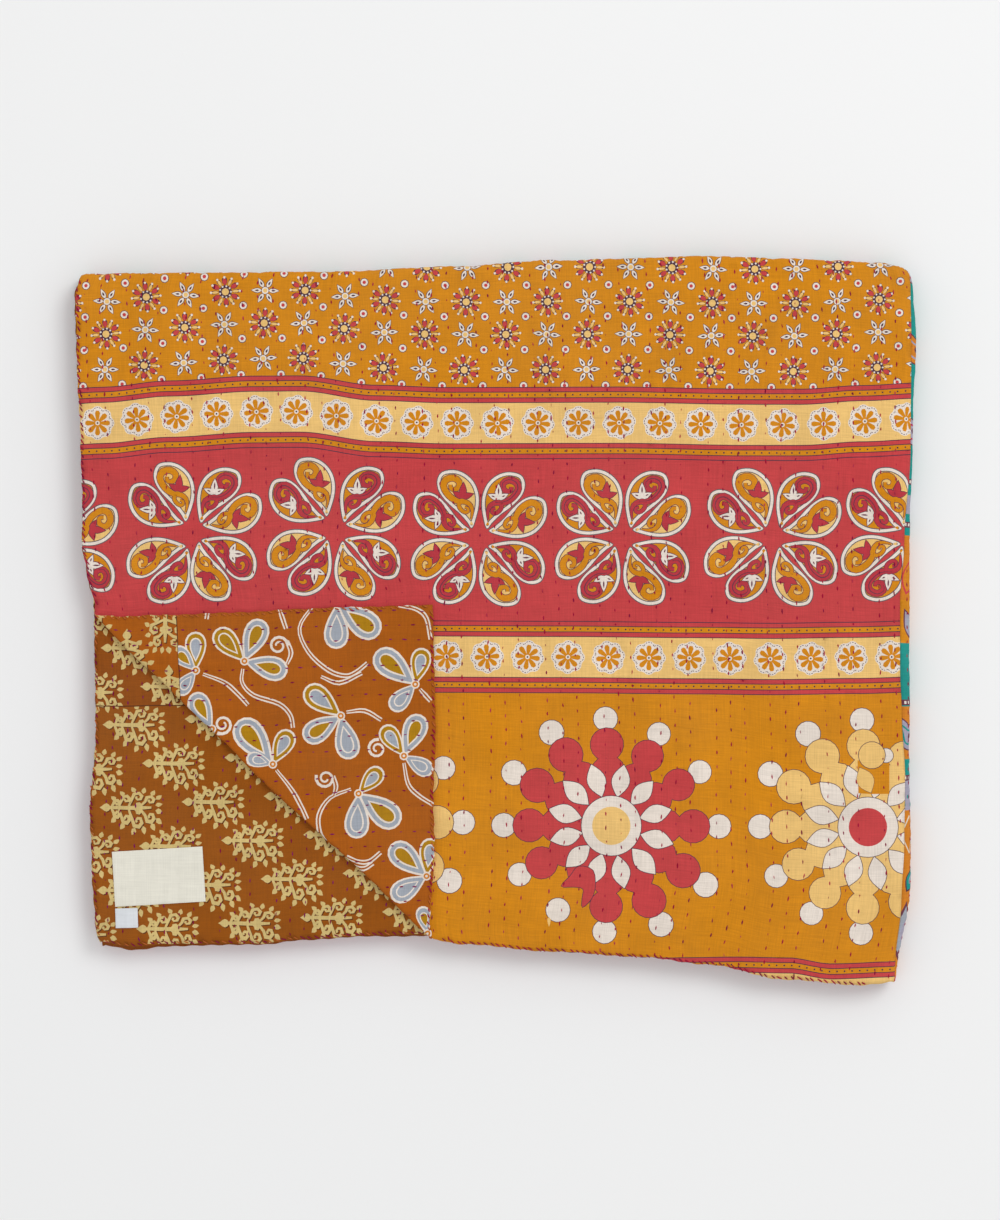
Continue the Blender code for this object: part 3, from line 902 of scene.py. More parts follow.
PAISLEY_ROWS = [(183, 36, "plum", "lilac", "teal"), (410, 48, "plum", "lilac", "magenta"),
                (470, 48, "plum", "orange", "lilac"), (530, 48, "plum", "lilac", "magenta")]


SIDE_COLUMNS = np.concatenate((np.arange(SIDE_START, SIDE_START + 62, 3.1),
                               np.linspace(SIDE_START + 62, SIDE_END, 48)))


def plain_row(lower, upper):
    """The outline of a strip, with corners close enough to follow the folds."""
    rise = 1j * np.arange(lower, upper, 12)[1:]
    return np.concatenate((SIDE_COLUMNS + 1j * lower, SIDE_END + rise,
                           SIDE_COLUMNS[::-1] + 1j * upper, SIDE_START + rise[::-1]))


def paint_side_rows():
    """Plain strips, then nets, leaves, paisleys and rows of squares."""
    for lower, upper, dye in PLAIN_ROWS:
        paint("under", plain_row(lower, upper), dye)
    for x in range(SIDE_START, SIDE_END, 16):
        for lean in (16, -16):
            bar = ribbon(np.array([x + 96j, x + lean + 124j]), [1.0, 1.0])
            paint("under", bar, "pale")
    for number in range(2 * (SIDE_END - SIDE_START) // 9):
        paint("under", circle(1.6, 6) + SIDE_START + 4.5 * number + 1j * (132 + 6 * (number % 2)),
              "teal")
    for along, pitch, length, degrees, rim, body, heart in LEAF_ROWS:
        for x in np.arange(STRIP_MIDDLE - pitch, SIDE_END, pitch):
            for size, dye in ((1.0, rim), (0.84, body), (0.42, heart)):
                shape = leaf(-length * size / 2, length * size / 2, length * size * 0.55, 6, 0.44)
                paint("under", shape * turned(degrees) + x + 1j * along, dye)
    for along, pitch, rim, body, heart in PAISLEY_ROWS:
        for x in np.arange(STRIP_MIDDLE - pitch, SIDE_END, pitch):
            edge = smooth_closed(PAISLEY, 2)
            for by, dye in ((1.0, rim), (0.0, body), (-3.0, heart), (-4.4, body)):
                paint("under", grown(edge, by) + x + 1j * along, dye)
            paint("under", circle(2.2, 8) + x + 1j * along, rim)
    for along in SQUARE_ROWS:
        line = SIDE_COLUMNS + 1j * along
        paint("under", ribbon(line, [4.2, 4.2]), "plum")
        for x in np.arange(SIDE_START + 2, SIDE_END, 4.4):
            paint("under", circle(1.5, 4) * turned(45) + x + 1j * along, "white")


paint_side_rows()
print("outlines of the side patch:", len(prints["under"]))

# %% [markdown]
# ## Rows of running stitch
# The rows run along the whole cloth in threes, 11.5 mm apart, with a wider gap after each three.
# They lean a little and waver, as rows sewn by eye do. Each row pulls the cloth into a shallow
# groove, and the cloth between two stitches puffs up, which gives kantha its ripples.

# %% Where the rows are, and what they do to the cloth
ROW_PITCH = 0.01145
GROUP_PITCH = 0.04350
ROW_START = 0.0049
ROW_LEAN = -0.018
STITCH_PITCH = 0.0105
GROOVE = 0.00052
GROOVE_HALF = 0.0016
PUFF = 0.00034
PUFF_HALF = 0.0045
RIPPLE = 0.00038


def row_drift(across, along):
    """How far a row has leaned and wavered from its place at the near hem."""
    return ROW_LEAN * along + 0.0016 * noises(across / 0.16, along / 0.11, 8.1)


def row_places():
    """The rows' places across the cloth at the near hem."""
    groups = int(END_ACROSS / GROUP_PITCH) + 2
    return np.array([ROW_START + group * GROUP_PITCH + member * ROW_PITCH
                     for group in range(-1, groups) for member in range(3)])


ROWS = row_places()


def past_row(across, along):
    """(distance to the nearest row, that row's number)."""
    level = across - row_drift(across, along)
    number = np.clip(np.searchsorted(ROWS, level), 1, len(ROWS) - 1)
    nearer = np.where(level - ROWS[number - 1] < ROWS[number] - level, number - 1, number)
    return np.abs(level - ROWS[nearer]), nearer


def relief(across, along, side=1):
    """How far a face of the cloth stands out. Side 1 is the front, and side -1 the reverse.

    A groove pinches both faces. A puff or a ripple lifts one face and sinks the other.
    """
    away, number = past_row(across, along)
    phase = 2 * pi * (along / STITCH_PITCH + 0.37 * number)
    groove = -GROOVE * np.exp(-(away / GROOVE_HALF) ** 2)
    puff = PUFF * np.cos(phase) * np.exp(-(away / PUFF_HALF) ** 2)
    ripple = RIPPLE * noises(across / 0.022, along / 0.0062, 5.5)
    broad = 0.00045 * noises(across / 0.075, along / 0.028, 1.2)
    return groove + side * (puff + ripple + broad)


# %% [markdown]
# ## Two patches of fine cloth
# Each patch is a thin closed sheet with a front and a reverse. Its triangles are cut along the
# outlines of the print, so that every dye has a clean edge without an image. Blender's Delaunay
# function does the cutting on the flat cloth, and the folding rule then takes every corner to its
# place. Layers that nothing shows stay coarse.

# %% Hems and the seam between the patches
# y and x, in millimetres from the quilt's middle, of the seam down the right side.
SEAM_LINE = [(-280, 302.2), (-250, 303.2), (-206, 307.0), (-160, 309.4), (-113, 310.2),
             (-66, 307.4), (-35, 306.0), (16, 305.9), (62, 309.7), (130, 315.0), (200, 315.2),
             (280, 314.5)]
SEAM_ALONG = END_OUTER + 0.020
SEAM_GAP = 0.0003
HEM_STEP = 0.003
ROUNDED = 0.0014
THIN_EDGE = 0.30


def seam_across(along):
    """Where the seam down the right side lies on the cloth."""
    depth = np.minimum(along, FAR_LINE)
    y = depth - FOLDED_DEPTH / 2
    x = table_values(SEAM_LINE, y / MM) * MM
    s = 1.0
    width = x + FOLDED_WIDTH / 2 - s * table_values(RIGHT_REACH, depth / FOLDED_DEPTH)
    turn = np.arcsin(np.clip((width - SIDE_LINE) / MIDDLE_Z, 0.0, 1.0))
    return np.where(width > SIDE_LINE, SIDE_LINE + HEIGHT_FIRST * turn, width)


def hem_wave(place, seed):
    """How far a hem draws in between its stitches."""
    return 0.0006 + 0.00035 * np.sin(2 * pi * place / 0.0145 + seed) + 0.0005 * noises(
        place / 0.035, np.full_like(place, seed), 3.3)


def spaced(start, end, step=HEM_STEP):
    """Places from start up to, but not with, end."""
    count = max(1, ceil(abs(end - start) / step))
    return start + (end - start) * np.arange(count) / count


def top_patch_outline():
    """The edge of the patch that fills the top, as complex numbers, across and along."""
    near = spaced(0.0, float(seam_across(np.array([0.0]))[0]))
    seam = spaced(0.0, SEAM_ALONG)
    far = spaced(float(seam_across(np.array([SEAM_ALONG]))[0]), 0.0)
    left = spaced(SEAM_ALONG, 0.0)
    edge = np.concatenate((
        near + 1j * hem_wave(near, 0.4),
        seam_across(seam) - SEAM_GAP / 2 + 1j * seam,
        far - SEAM_GAP / 2 + 1j * (SEAM_ALONG - SEAM_GAP / 2),
        hem_wave(left, 2.9) + 1j * left))
    return edge


def under_patch_outline():
    """The edge of the rest of the cloth."""
    seam_start = float(seam_across(np.array([0.0]))[0])
    near = spaced(seam_start, END_ACROSS)
    right = spaced(0.0, END_ALONG)
    far = spaced(END_ACROSS, 0.0)
    left = spaced(END_ALONG, SEAM_ALONG)
    back = spaced(0.0, float(seam_across(np.array([SEAM_ALONG]))[0]))
    seam = spaced(SEAM_ALONG, 0.0)
    return np.concatenate((
        near + SEAM_GAP / 2 + 1j * hem_wave(near, 1.1),
        END_ACROSS - hem_wave(right, 4.2) + 1j * right,
        far + 1j * (END_ALONG - hem_wave(far, 5.1)),
        hem_wave(left, 2.9) + 1j * left,
        back + SEAM_GAP / 2 + 1j * (SEAM_ALONG + SEAM_GAP / 2),
        seam_across(seam) + SEAM_GAP / 2 + 1j * seam))


# %% Tell what lies inside an outline
def inside(points, outline):
    """Which points lie inside a closed outline, by its winding number."""
    x, y = points.real[:, None], points.imag[:, None]
    start = outline
    end = np.roll(outline, -1)
    x0, y0, x1, y1 = start.real, start.imag, end.real, end.imag
    up = (y0 <= y) & (y1 > y)
    down = (y0 > y) & (y1 <= y)
    left = (x1 - x0) * (y - y0) - (x - x0) * (y1 - y0)
    winding = np.sum(up & (left > 0), axis=1) - np.sum(down & (left < 0), axis=1)
    return winding != 0


def inside_in_parts(points, outline, part=4000):
    """The same for many points, a few thousand at a time."""
    return np.concatenate([inside(points[i:i + part], outline)
                           for i in range(0, len(points), part)])


def dye_numbers(middles, shapes, cuts, ground):
    """The number of the dye on top at each place."""
    order = np.argsort(middles.real)
    points = middles[order]
    within = {name: inside_in_parts(points, outline) for name, outline in cuts.items()}
    dyes = np.full(len(points), DYE_NAMES.index(ground))
    for outline, dye, window in shapes:
        first, last = np.searchsorted(points.real, (outline.real.min(), outline.real.max()))
        strip = points[first:last]
        near = (strip.imag >= outline.imag.min()) & (strip.imag <= outline.imag.max())
        if window:
            near &= within[window][first:last]
        chosen = np.flatnonzero(near)
        if len(chosen):
            chosen = chosen[inside_in_parts(strip[chosen], outline)]
            dyes[first + chosen] = DYE_NAMES.index(dye)
    back = np.empty_like(dyes)
    back[order] = dyes
    return back


# %% Cut one side of a patch into triangles
CLOSE = 0.0014


def thinned(spots, fixed):
    """Grid spots without those that lie close to a drawn corner."""
    taken = set()
    for column, row in zip(np.round(fixed.real / CLOSE).astype(int).tolist(),
                           np.round(fixed.imag / CLOSE).astype(int).tolist()):
        for i in (-1, 0, 1):
            for j in (-1, 0, 1):
                taken.add((column + i, row + j))
    keep = [(column, row) not in taken for column, row in
            zip(np.round(spots.real / CLOSE).astype(int).tolist(),
                np.round(spots.imag / CLOSE).astype(int).tolist())]
    return spots[np.array(keep, bool)]


def cut_side(edge, spots, shapes, cuts, lines, ground):
    """(corner places, triangles, dye of each triangle) of one side of a patch."""
    spots = spots[inside_in_parts(spots, edge)]
    rings = [edge, *cuts.values(), *(outline for outline, dye, window in shapes)]
    fixed = np.concatenate([*rings, *lines])
    places = np.concatenate((fixed, thinned(spots, fixed)))
    edges = []
    start = 0
    for ring in rings:
        count = len(ring)
        edges += [(start + i, start + (i + 1) % count) for i in range(count)]
        start += count
    for line in lines:
        edges += [(start + i, start + i + 1) for i in range(len(line) - 1)]
        start += len(line)
    flat = [Vector((p.real, p.imag)) for p in places.tolist()]
    corners, _, faces, _, _, _ = geometry.delaunay_2d_cdt(flat, edges, [], 0, 1e-7, False)
    corners = np.array([(c.x, c.y) for c in corners]) @ np.array([1, 1j])
    faces = np.array([tuple(face) for face in faces])
    middles = corners[faces].mean(axis=1)
    faces = faces[inside_in_parts(middles, edge)]
    used, faces = np.unique(faces, return_inverse=True)
    faces = faces.reshape(-1, 3)
    corners = corners[used]
    return corners, faces, dye_numbers(corners[faces].mean(axis=1), shapes, cuts, ground)


def rim_of(faces):
    """The corners round the edge of a side, in order."""
    ahead = {}
    edges = set()
    for a, b, c in faces.tolist():
        edges.update(((a, b), (b, c), (c, a)))
    for a, b in edges:
        if (b, a) not in edges:
            ahead[a] = b
    start = next(iter(ahead))
    chain = [start]
    while ahead[chain[-1]] != start:
        chain.append(ahead[chain[-1]])
    return chain, len(ahead)


def sew_rims(front, front_corners, reverse, reverse_corners):
    """Triangles between the rims of the front and the reverse, which run round the same edge."""
    start = front_corners[front[0]]
    shift = int(np.argmin(np.abs(reverse_corners[reverse] - start)))
    reverse = reverse[shift:] + reverse[:shift]
    front = [*front, front[0]]
    reverse = [*reverse, reverse[0]]
    run_front = np.concatenate(([0], np.cumsum(np.abs(np.diff(front_corners[front])))))
    run_reverse = np.concatenate(([0], np.cumsum(np.abs(np.diff(reverse_corners[reverse])))))
    run_front /= run_front[-1]
    run_reverse /= run_reverse[-1]
    i = j = 0
    made = []
    while i < len(front) - 1 or j < len(reverse) - 1:
        front_next = j == len(reverse) - 1 or (
            i < len(front) - 1 and run_front[i + 1] <= run_reverse[j + 1])
        if front_next:
            made.append((("front", front[i + 1]), ("front", front[i]), ("reverse", reverse[j])))
            i += 1
        else:
            made.append((("reverse", reverse[j]), ("reverse", reverse[j + 1]), ("front", front[i])))
            j += 1
    return made


# %% Grids of spots: closer where the cloth shows or bends
def grid(columns, rows):
    """Spots at all pairs of a column and a row, every other row set half a step aside."""
    columns = np.asarray(columns)
    half = np.gradient(columns) / 2
    spots = [columns + (half if i % 2 else 0) + 1j * row for i, row in enumerate(rows)]
    return np.concatenate(spots)


def even_grid(across, along, step):
    """An even grid over a rectangle of the cloth."""
    return grid(np.arange(across[0] + step / 2, across[1], step),
                np.arange(along[0] + step / 2, along[1], step))


def sewn_grid(across, along, step):
    """A grid whose columns follow the rows of stitches, so that every groove is sharp."""
    offsets = []
    for row, following in zip(ROWS, ROWS[1:]):
        wide = following - row
        inner = np.linspace(0.0017, wide - 0.0017, max(2, round(wide / step)))
        offsets += [row, *(row + inner)]
    columns = np.array(offsets)
    spots = []
    for row in np.arange(along[0] + step / 2, along[1], step):
        place = columns + row_drift(columns, np.full_like(columns, row))
        spots.append(place[(place > across[0]) & (place < across[1])] + 1j * row)
    return np.concatenate(spots)


def fold_lines():
    """Lines across the turned-back corner's bend."""
    lines = []
    for i in range(9):
        past = pi * FLAP_BEND * (i - 1) / 6
        reach = FLAP_LEG - past * sqrt(2)
        share = np.linspace(0.002, 0.998, int(reach / 0.0035))
        lines.append(reach * share + 1j * reach * (1 - share))
    return lines


def bend_spots(across, folds, step, fine):
    """Spots over folds that run across the cloth."""
    rows = np.concatenate([np.arange(start - fine, end + fine, fine) for start, end in folds])
    return grid(np.arange(across[0], across[1], step), rows)


# %% Build a closed sheet from its two sides
def edge_distance(corners, patch):
    """Distance of places to the hems and seams of a patch."""
    across, along = corners.real, corners.imag
    if patch == "top":
        sides = [across - hem_wave(along, 2.9), along - hem_wave(across, 0.4),
                 seam_across(along) - across]
        sides[2] = np.where(along < SEAM_ALONG, sides[2], SEAM_ALONG - along)
        return np.maximum(np.minimum.reduce(sides), 0.0)
    near = np.where(across > SIDE_LINE / 2, along - hem_wave(across, 1.1), 1.0)
    left = np.where(along > SEAM_ALONG, across - hem_wave(along, 2.9), 1.0)
    seam = np.where(along < SEAM_ALONG, across - seam_across(along), 1.0)
    sides = [near, left, seam, END_ACROSS - hem_wave(along, 4.2) - across,
             END_ALONG - hem_wave(across, 5.1) - along]
    return np.maximum(np.minimum.reduce(sides), 0.0)


def half_thickness(corners, patch):
    """Half the cloth's thickness, less at its rounded edges."""
    near = 1 - np.minimum(edge_distance(corners, patch), ROUNDED) / ROUNDED
    return THICKNESS / 2 * (THIN_EDGE + (1 - THIN_EDGE) * np.sqrt(1 - near ** 2))


def make_sheet(name, patch, front, reverse):
    """A closed sheet. Each side is (corner places, triangles, dyes)."""
    front_corners, front_faces, front_dyes = front
    reverse_corners, reverse_faces, reverse_dyes = reverse
    places = np.concatenate((
        on_cloth(front_corners.real, front_corners.imag,
                 half_thickness(front_corners, patch) + face_relief(front_corners, patch, 1)),
        on_cloth(reverse_corners.real, reverse_corners.imag,
                 -half_thickness(reverse_corners, patch)
                 - face_relief(reverse_corners, patch, -1))))
    start = len(front_corners)
    front_rim, count = rim_of(front_faces)
    reverse_rim, other = rim_of(reverse_faces)
    print(name, "rim corners:", len(front_rim), count, len(reverse_rim), other)
    offset = {"front": 0, "reverse": start}
    rim = np.array([[offset[side] + corner for side, corner in face] for face in
                    sew_rims(front_rim, front_corners, reverse_rim, reverse_corners)])
    faces = np.concatenate((front_faces, reverse_faces[:, ::-1] + start, rim))
    flat = np.concatenate((front_corners, reverse_corners))
    rim_dyes = np.full(len(rim), -1)
    first_dye = {}
    for face, dye in zip(front_faces.tolist(), front_dyes.tolist()):
        for corner in face:
            first_dye[corner] = dye
    for i, face in enumerate(rim.tolist()):
        on_front = [corner for corner in face if corner < start]
        rim_dyes[i] = first_dye[on_front[0]]
    dyes = np.concatenate((front_dyes, reverse_dyes, rim_dyes))
    mesh = bpy.data.meshes.new(name)
    mesh.from_pydata(places.tolist(), [], faces.tolist())
    colours = np.array([(*DYES[dye], 1.0) for dye in DYE_NAMES])[dyes]
    layer = mesh.color_attributes.new("print", "FLOAT_COLOR", "CORNER")
    layer.data.foreach_set("color", np.repeat(colours, 3, axis=0).ravel())
    cloth_map = mesh.uv_layers.new(name="cloth")
    at = flat[faces.ravel()]
    cloth_map.data.foreach_set("uv", np.column_stack((at.real, at.imag)).ravel())
    mesh.shade_smooth()
    sheet = bpy.data.objects.new(name, mesh)
    bpy.context.collection.objects.link(sheet)
    print(name, "has", len(faces), "triangles")
    return sheet


# %% Shapes of a layer's print on the flat cloth
def shapes_on_cloth(layer, shown=None):
    """(shapes, windows) of a layer on the flat cloth, leaving out shapes that show nowhere."""
    def laid_flat(outline):
        if layer == "under":
            return outline * MM
        across, along = unfolded(outline.real * MM, outline.imag * MM, layer)
        return across + 1j * along
    sizes = [len(outline) for outline, dye, window in prints[layer]]
    flat = laid_flat(np.concatenate([outline for outline, dye, window in prints[layer]]))
    outlines = np.split(flat, np.cumsum(sizes)[:-1])
    shapes = [(outline, dye, window) for outline, (_, dye, window) in zip(outlines, prints[layer])
              if shown is None or np.any(shown(outline.real, outline.imag))]
    return shapes, {name: laid_flat(outline) for name, outline in windows[layer].items()}


def top_shows(across, along):
    """The part of the top layer that isn't under the turned-back corner."""
    edge = FLAP_LEG - 0.007
    on_patch = (across > 0) & (along > 0) & (across < 0.64) & (along < SEAM_ALONG)
    return on_patch & ((across > edge) | (along > edge))


# %% Where the relief shows
RELIEF_FADES = 0.006
HEM_FADES = 0.004


def fading(distance):
    """From 0 to 1 over a few millimetres."""
    return np.clip(distance / RELIEF_FADES, 0.0, 1.0)


def face_relief(corners, patch, side):
    """Relief of a face: none between layers, and none outwards where the quilt rests."""
    across, along = corners.real, corners.imag
    stands_out = relief(across, along, side)
    if patch == "top" and side == 1:
        shows = fading(np.maximum(across, along) - FLAP_LEG + 0.008)
    elif patch == "top":
        shows = fading(FLAP_LEG + 0.002 - across - along)
    elif side == 1:
        shows = np.where(along < END_OUTER, 1.0, 0.0)
        below = (across > (END_TOP + END_SIDE) / 2) | (along > (END_FIRST + END_OUTER) / 2)
        stands_out = np.where(below, np.minimum(stands_out, 0.0), stands_out)
    else:
        shows = np.where((across < 0.30) & (along > END_ALONG - 0.30), 1.0, 0.0)
    return shows * np.minimum(edge_distance(corners, patch) / HEM_FADES, 1.0) * stands_out


# %% Make the top patch
TOP_STEP = 0.0062
top_edge = top_patch_outline()
hidden = FLAP_LEG - 0.008
fine = sewn_grid((0.002, 0.64), (0.0012, SEAM_ALONG), TOP_STEP)
fine = fine[(fine.real > hidden) | (fine.imag > hidden)]
coarse = even_grid((0.004, hidden), (0.004, hidden), 0.012)
far_bend = bend_spots((0.002, 0.64), [(END_FIRST, END_OUTER)], 0.0045, 0.0018)
top_front = cut_side(top_edge, np.concatenate((fine, coarse, far_bend)),
                     *shapes_on_cloth("top", top_shows), fold_lines(), "mustard")
flap_spots = sewn_grid((0.001, FLAP_LEG), (0.001, FLAP_LEG), TOP_STEP)
flap_spots = flap_spots[flap_spots.real + flap_spots.imag < FLAP_LEG]
rest = even_grid((0.004, 0.64), (0.004, SEAM_ALONG), 0.014)
rest = rest[rest.real + rest.imag > FLAP_LEG + 0.006]
flap_bend = bend_spots((0.002, 0.64), [(END_FIRST, END_OUTER)], 0.012, 0.0024)


def flap_shows(across, along):
    """The turned-back corner."""
    return (across > -0.01) & (along > -0.01) & (across + along < FLAP_LEG + 0.01)


flap_shapes, flap_windows = shapes_on_cloth("flap", flap_shows)
top_reverse = cut_side(top_edge, np.concatenate((flap_spots, rest, flap_bend)), flap_shapes,
                       flap_windows, fold_lines(), "rust")
quilt_top = make_sheet("quilt_top", "top", top_front, top_reverse)

# %% Make the rest of the cloth
under_edge = under_patch_outline()
side_grid = sewn_grid((0.60, END_ACROSS), (0.0012, 0.56), 0.0055)
corner_grid = sewn_grid((0.0, 0.275), (END_ALONG - 0.275, END_ALONG), 0.0045)
everywhere = even_grid((0.006, END_ACROSS), (0.006, END_ALONG), 0.022)
open_front = everywhere[(everywhere.imag > 0.56) | (everywhere.real < 0.60)]
bends = bend_spots((0.004, END_ACROSS), [(END_FIRST, END_OUTER), (END_SECOND, END_NEAR),
                                         (END_THIRD, END_INNER)], 0.010, 0.0018)
side_bend = 1j * bend_spots((0.006, END_ALONG), [(END_TOP, END_SIDE)], 0.008, 0.0024).conj()
under_front = cut_side(under_edge, np.concatenate((side_grid, open_front, bends, side_bend)),
                       *shapes_on_cloth("under"), [], "magenta")
open_reverse = everywhere[(everywhere.real > 0.30) | (everywhere.imag < END_ALONG - 0.30)]


def corner_shows(across, along):
    """The near left corner of the last layer."""
    return (across > -0.01) & (across - (along - END_ALONG) < FLAP_LEG + 0.012)


last_shapes, last_windows = shapes_on_cloth("last", corner_shows)
under_reverse = cut_side(under_edge, np.concatenate((corner_grid, open_reverse, bends, side_bend)),
                         last_shapes, last_windows, [], "damask")
quilt_under = make_sheet("quilt_under", "under", under_front, under_reverse)

# %% [markdown]
# ## Materials
# The cotton reads its dye from the sheet's own colours. Washing has made it uneven: broad patches
# are paler, fine threads are darker or lighter along both directions of the weave, and the weave
# itself is a fine bump. The pattern follows the cloth's own map, which is in metres.

# %% Material tools
def cloth_noise(tree, map_node, scale, detail, stretch=(1.0, 1.0)):
    """Noise on the cloth's map, finer or coarser along either direction."""
    mapping = tree.nodes.new("ShaderNodeMapping")
    mapping.inputs["Scale"].default_value = (*stretch, 1.0)
    tree.links.new(map_node.outputs["UV"], mapping.inputs["Vector"])
    made = tree.nodes.new("ShaderNodeTexNoise")
    made.inputs["Scale"].default_value = scale
    made.inputs["Detail"].default_value = detail
    tree.links.new(mapping.outputs["Vector"], made.inputs["Vector"])
    return made.outputs["Fac"]


def maths(tree, operation, first, second):
    """A math node between two sockets or numbers."""
    made = tree.nodes.new("ShaderNodeMath")
    made.operation = operation
    for socket, value in zip(made.inputs, (first, second)):
        if isinstance(value, float):
            socket.default_value = value
        else:
            tree.links.new(value, socket)
    return made.outputs["Value"]


def swing(tree, fac, amount):
    """A factor round 1 from a noise round 0.5."""
    return maths(tree, "ADD", maths(tree, "MULTIPLY", fac, 2 * amount), 1.0 - amount)


def woven_material(name, thread_pitch, slub, mottle, fade, roughness, crinkles):
    """Dyed woven cloth: its dyes are the piece's own colours, made uneven by weave and wear."""
    material, tree, shader = plain_material(name, (0.5, 0.4, 0.3), roughness)
    shader.inputs["Specular IOR Level"].default_value = 0.05
    shader.inputs["Sheen Weight"].default_value = 0.015
    shader.inputs["Sheen Roughness"].default_value = 0.6
    map_node = tree.nodes.new("ShaderNodeUVMap")
    map_node.uv_map = "cloth"
    dye = tree.nodes.new("ShaderNodeVertexColor")
    dye.layer_name = "print"
    warp = cloth_noise(tree, map_node, 1.0, 1.0, (1200.0, 45.0))
    weft = cloth_noise(tree, map_node, 1.0, 1.0, (45.0, 1200.0))
    broad = cloth_noise(tree, map_node, 30.0, 3.0)
    washed = cloth_noise(tree, map_node, 9.0, 2.0)
    level = maths(tree, "MULTIPLY", swing(tree, warp, slub), swing(tree, weft, slub))
    level = maths(tree, "MULTIPLY", level, swing(tree, broad, mottle))
    shade = tree.nodes.new("ShaderNodeHueSaturation")
    tree.links.new(dye.outputs["Color"], shade.inputs["Color"])
    tree.links.new(level, shade.inputs["Value"])
    pale = tree.nodes.new("ShaderNodeMixRGB")
    pale.inputs["Color2"].default_value = (0.66, 0.52, 0.38, 1.0)
    tree.links.new(maths(tree, "MULTIPLY", washed, fade), pale.inputs["Fac"])
    tree.links.new(shade.outputs["Color"], pale.inputs["Color1"])
    tree.links.new(pale.outputs["Color"], shader.inputs["Base Color"])
    tree.links.new(maths(tree, "ADD", maths(tree, "MULTIPLY", broad, 0.14), roughness - 0.07),
                   shader.inputs["Roughness"])
    threads = []
    for direction in ("X", "Y"):
        wave = tree.nodes.new("ShaderNodeTexWave")
        wave.bands_direction = direction
        wave.inputs["Scale"].default_value = pi / 10 / thread_pitch
        tree.links.new(map_node.outputs["UV"], wave.inputs["Vector"])
        threads.append(wave.outputs["Fac"])
    creases = cloth_noise(tree, map_node, 1.0, 3.0, (60.0, 230.0))
    height = maths(tree, "ADD", maths(tree, "MULTIPLY", maths(tree, "MULTIPLY", *threads), 0.12),
                   maths(tree, "MULTIPLY", creases, crinkles))
    bump = tree.nodes.new("ShaderNodeBump")
    bump.inputs["Strength"].default_value = 0.75
    bump.inputs["Distance"].default_value = 0.0012
    tree.links.new(height, bump.inputs["Height"])
    tree.links.new(bump.outputs["Normal"], shader.inputs["Normal"])
    return material


cotton = woven_material("printed_cotton_cloth", 0.0007, 0.16, 0.16, 0.05, 0.88, 1.0)
tape = woven_material("label_cloth", 0.0007, 0.08, 0.08, 0.0, 0.85, 0.3)
thread = woven_material("sewing_thread", 0.0005, 0.20, 0.25, 0.0, 0.75, 0.2)

# %% [markdown]
# ## Thread
# A stitch is modelled once, as a plump capsule with pointed ends, and bent onto the cloth wherever
# the needle came up. Its ends dip into the cloth, and every one is a little longer, shorter or more
# aside than the next, as when a hand sews.

# %% Model one stitch
bpy.ops.object.select_all(action="DESELECT")
bpy.ops.mesh.primitive_uv_sphere_add(segments=4, ring_count=4, radius=1.0, location=(0, 0, 0),
                                     rotation=(pi / 2, 0, 0))
bpy.ops.object.transform_apply(location=False, rotation=True, scale=False)
bpy.ops.object.mode_set(mode="EDIT")
bpy.ops.mesh.quads_convert_to_tris()
bpy.ops.mesh.normals_make_consistent(inside=False)
bpy.ops.object.mode_set(mode="OBJECT")
one_stitch = bpy.context.object
STITCH_CORNERS = np.array([tuple(v.co) for v in one_stitch.data.vertices])
STITCH_FACES = np.array([tuple(face.vertices) for face in one_stitch.data.polygons])
bpy.data.objects.remove(one_stitch)
print("one stitch:", len(STITCH_CORNERS), "corners and", len(STITCH_FACES), "triangles")

# %% Lay stitches on the cloth
THREAD_RADIUS = 0.00056
STITCH_LENGTHS = (0.0034, 0.0056)
STITCH_DIPS = 0.00030
STITCH_STANDS = 0.00032
THREAD_DYES = {"crimson": (0.37, 0.004, 0.045), "wine": (0.24, 0.004, 0.050),
               "purple": (0.25, 0.006, 0.11), "faded": (0.44, 0.035, 0.07),
               "brick": (0.50, 0.13, 0.03)}
draw = np.random.default_rng(7)


def row_spots(side, across, along):
    """(across, along) of the middles of the stitches in a rectangle of the cloth."""
    spots = []
    for number, row in enumerate(ROWS):
        shift = 0.37 * number - (0.5 if side == 1 else 0.0)
        first = int(along[0] / STITCH_PITCH + shift)
        last = int(along[1] / STITCH_PITCH + shift) + 2
        at = (np.arange(first, last) - shift) * STITCH_PITCH
        place = np.full_like(at, row)
        for _ in range(2):
            place = row + row_drift(place, at)
        keep = (place > across[0]) & (place < across[1]) & (at > along[0]) & (at < along[1])
        spots.append(np.column_stack((place[keep], at[keep])))
    return np.concatenate(spots)


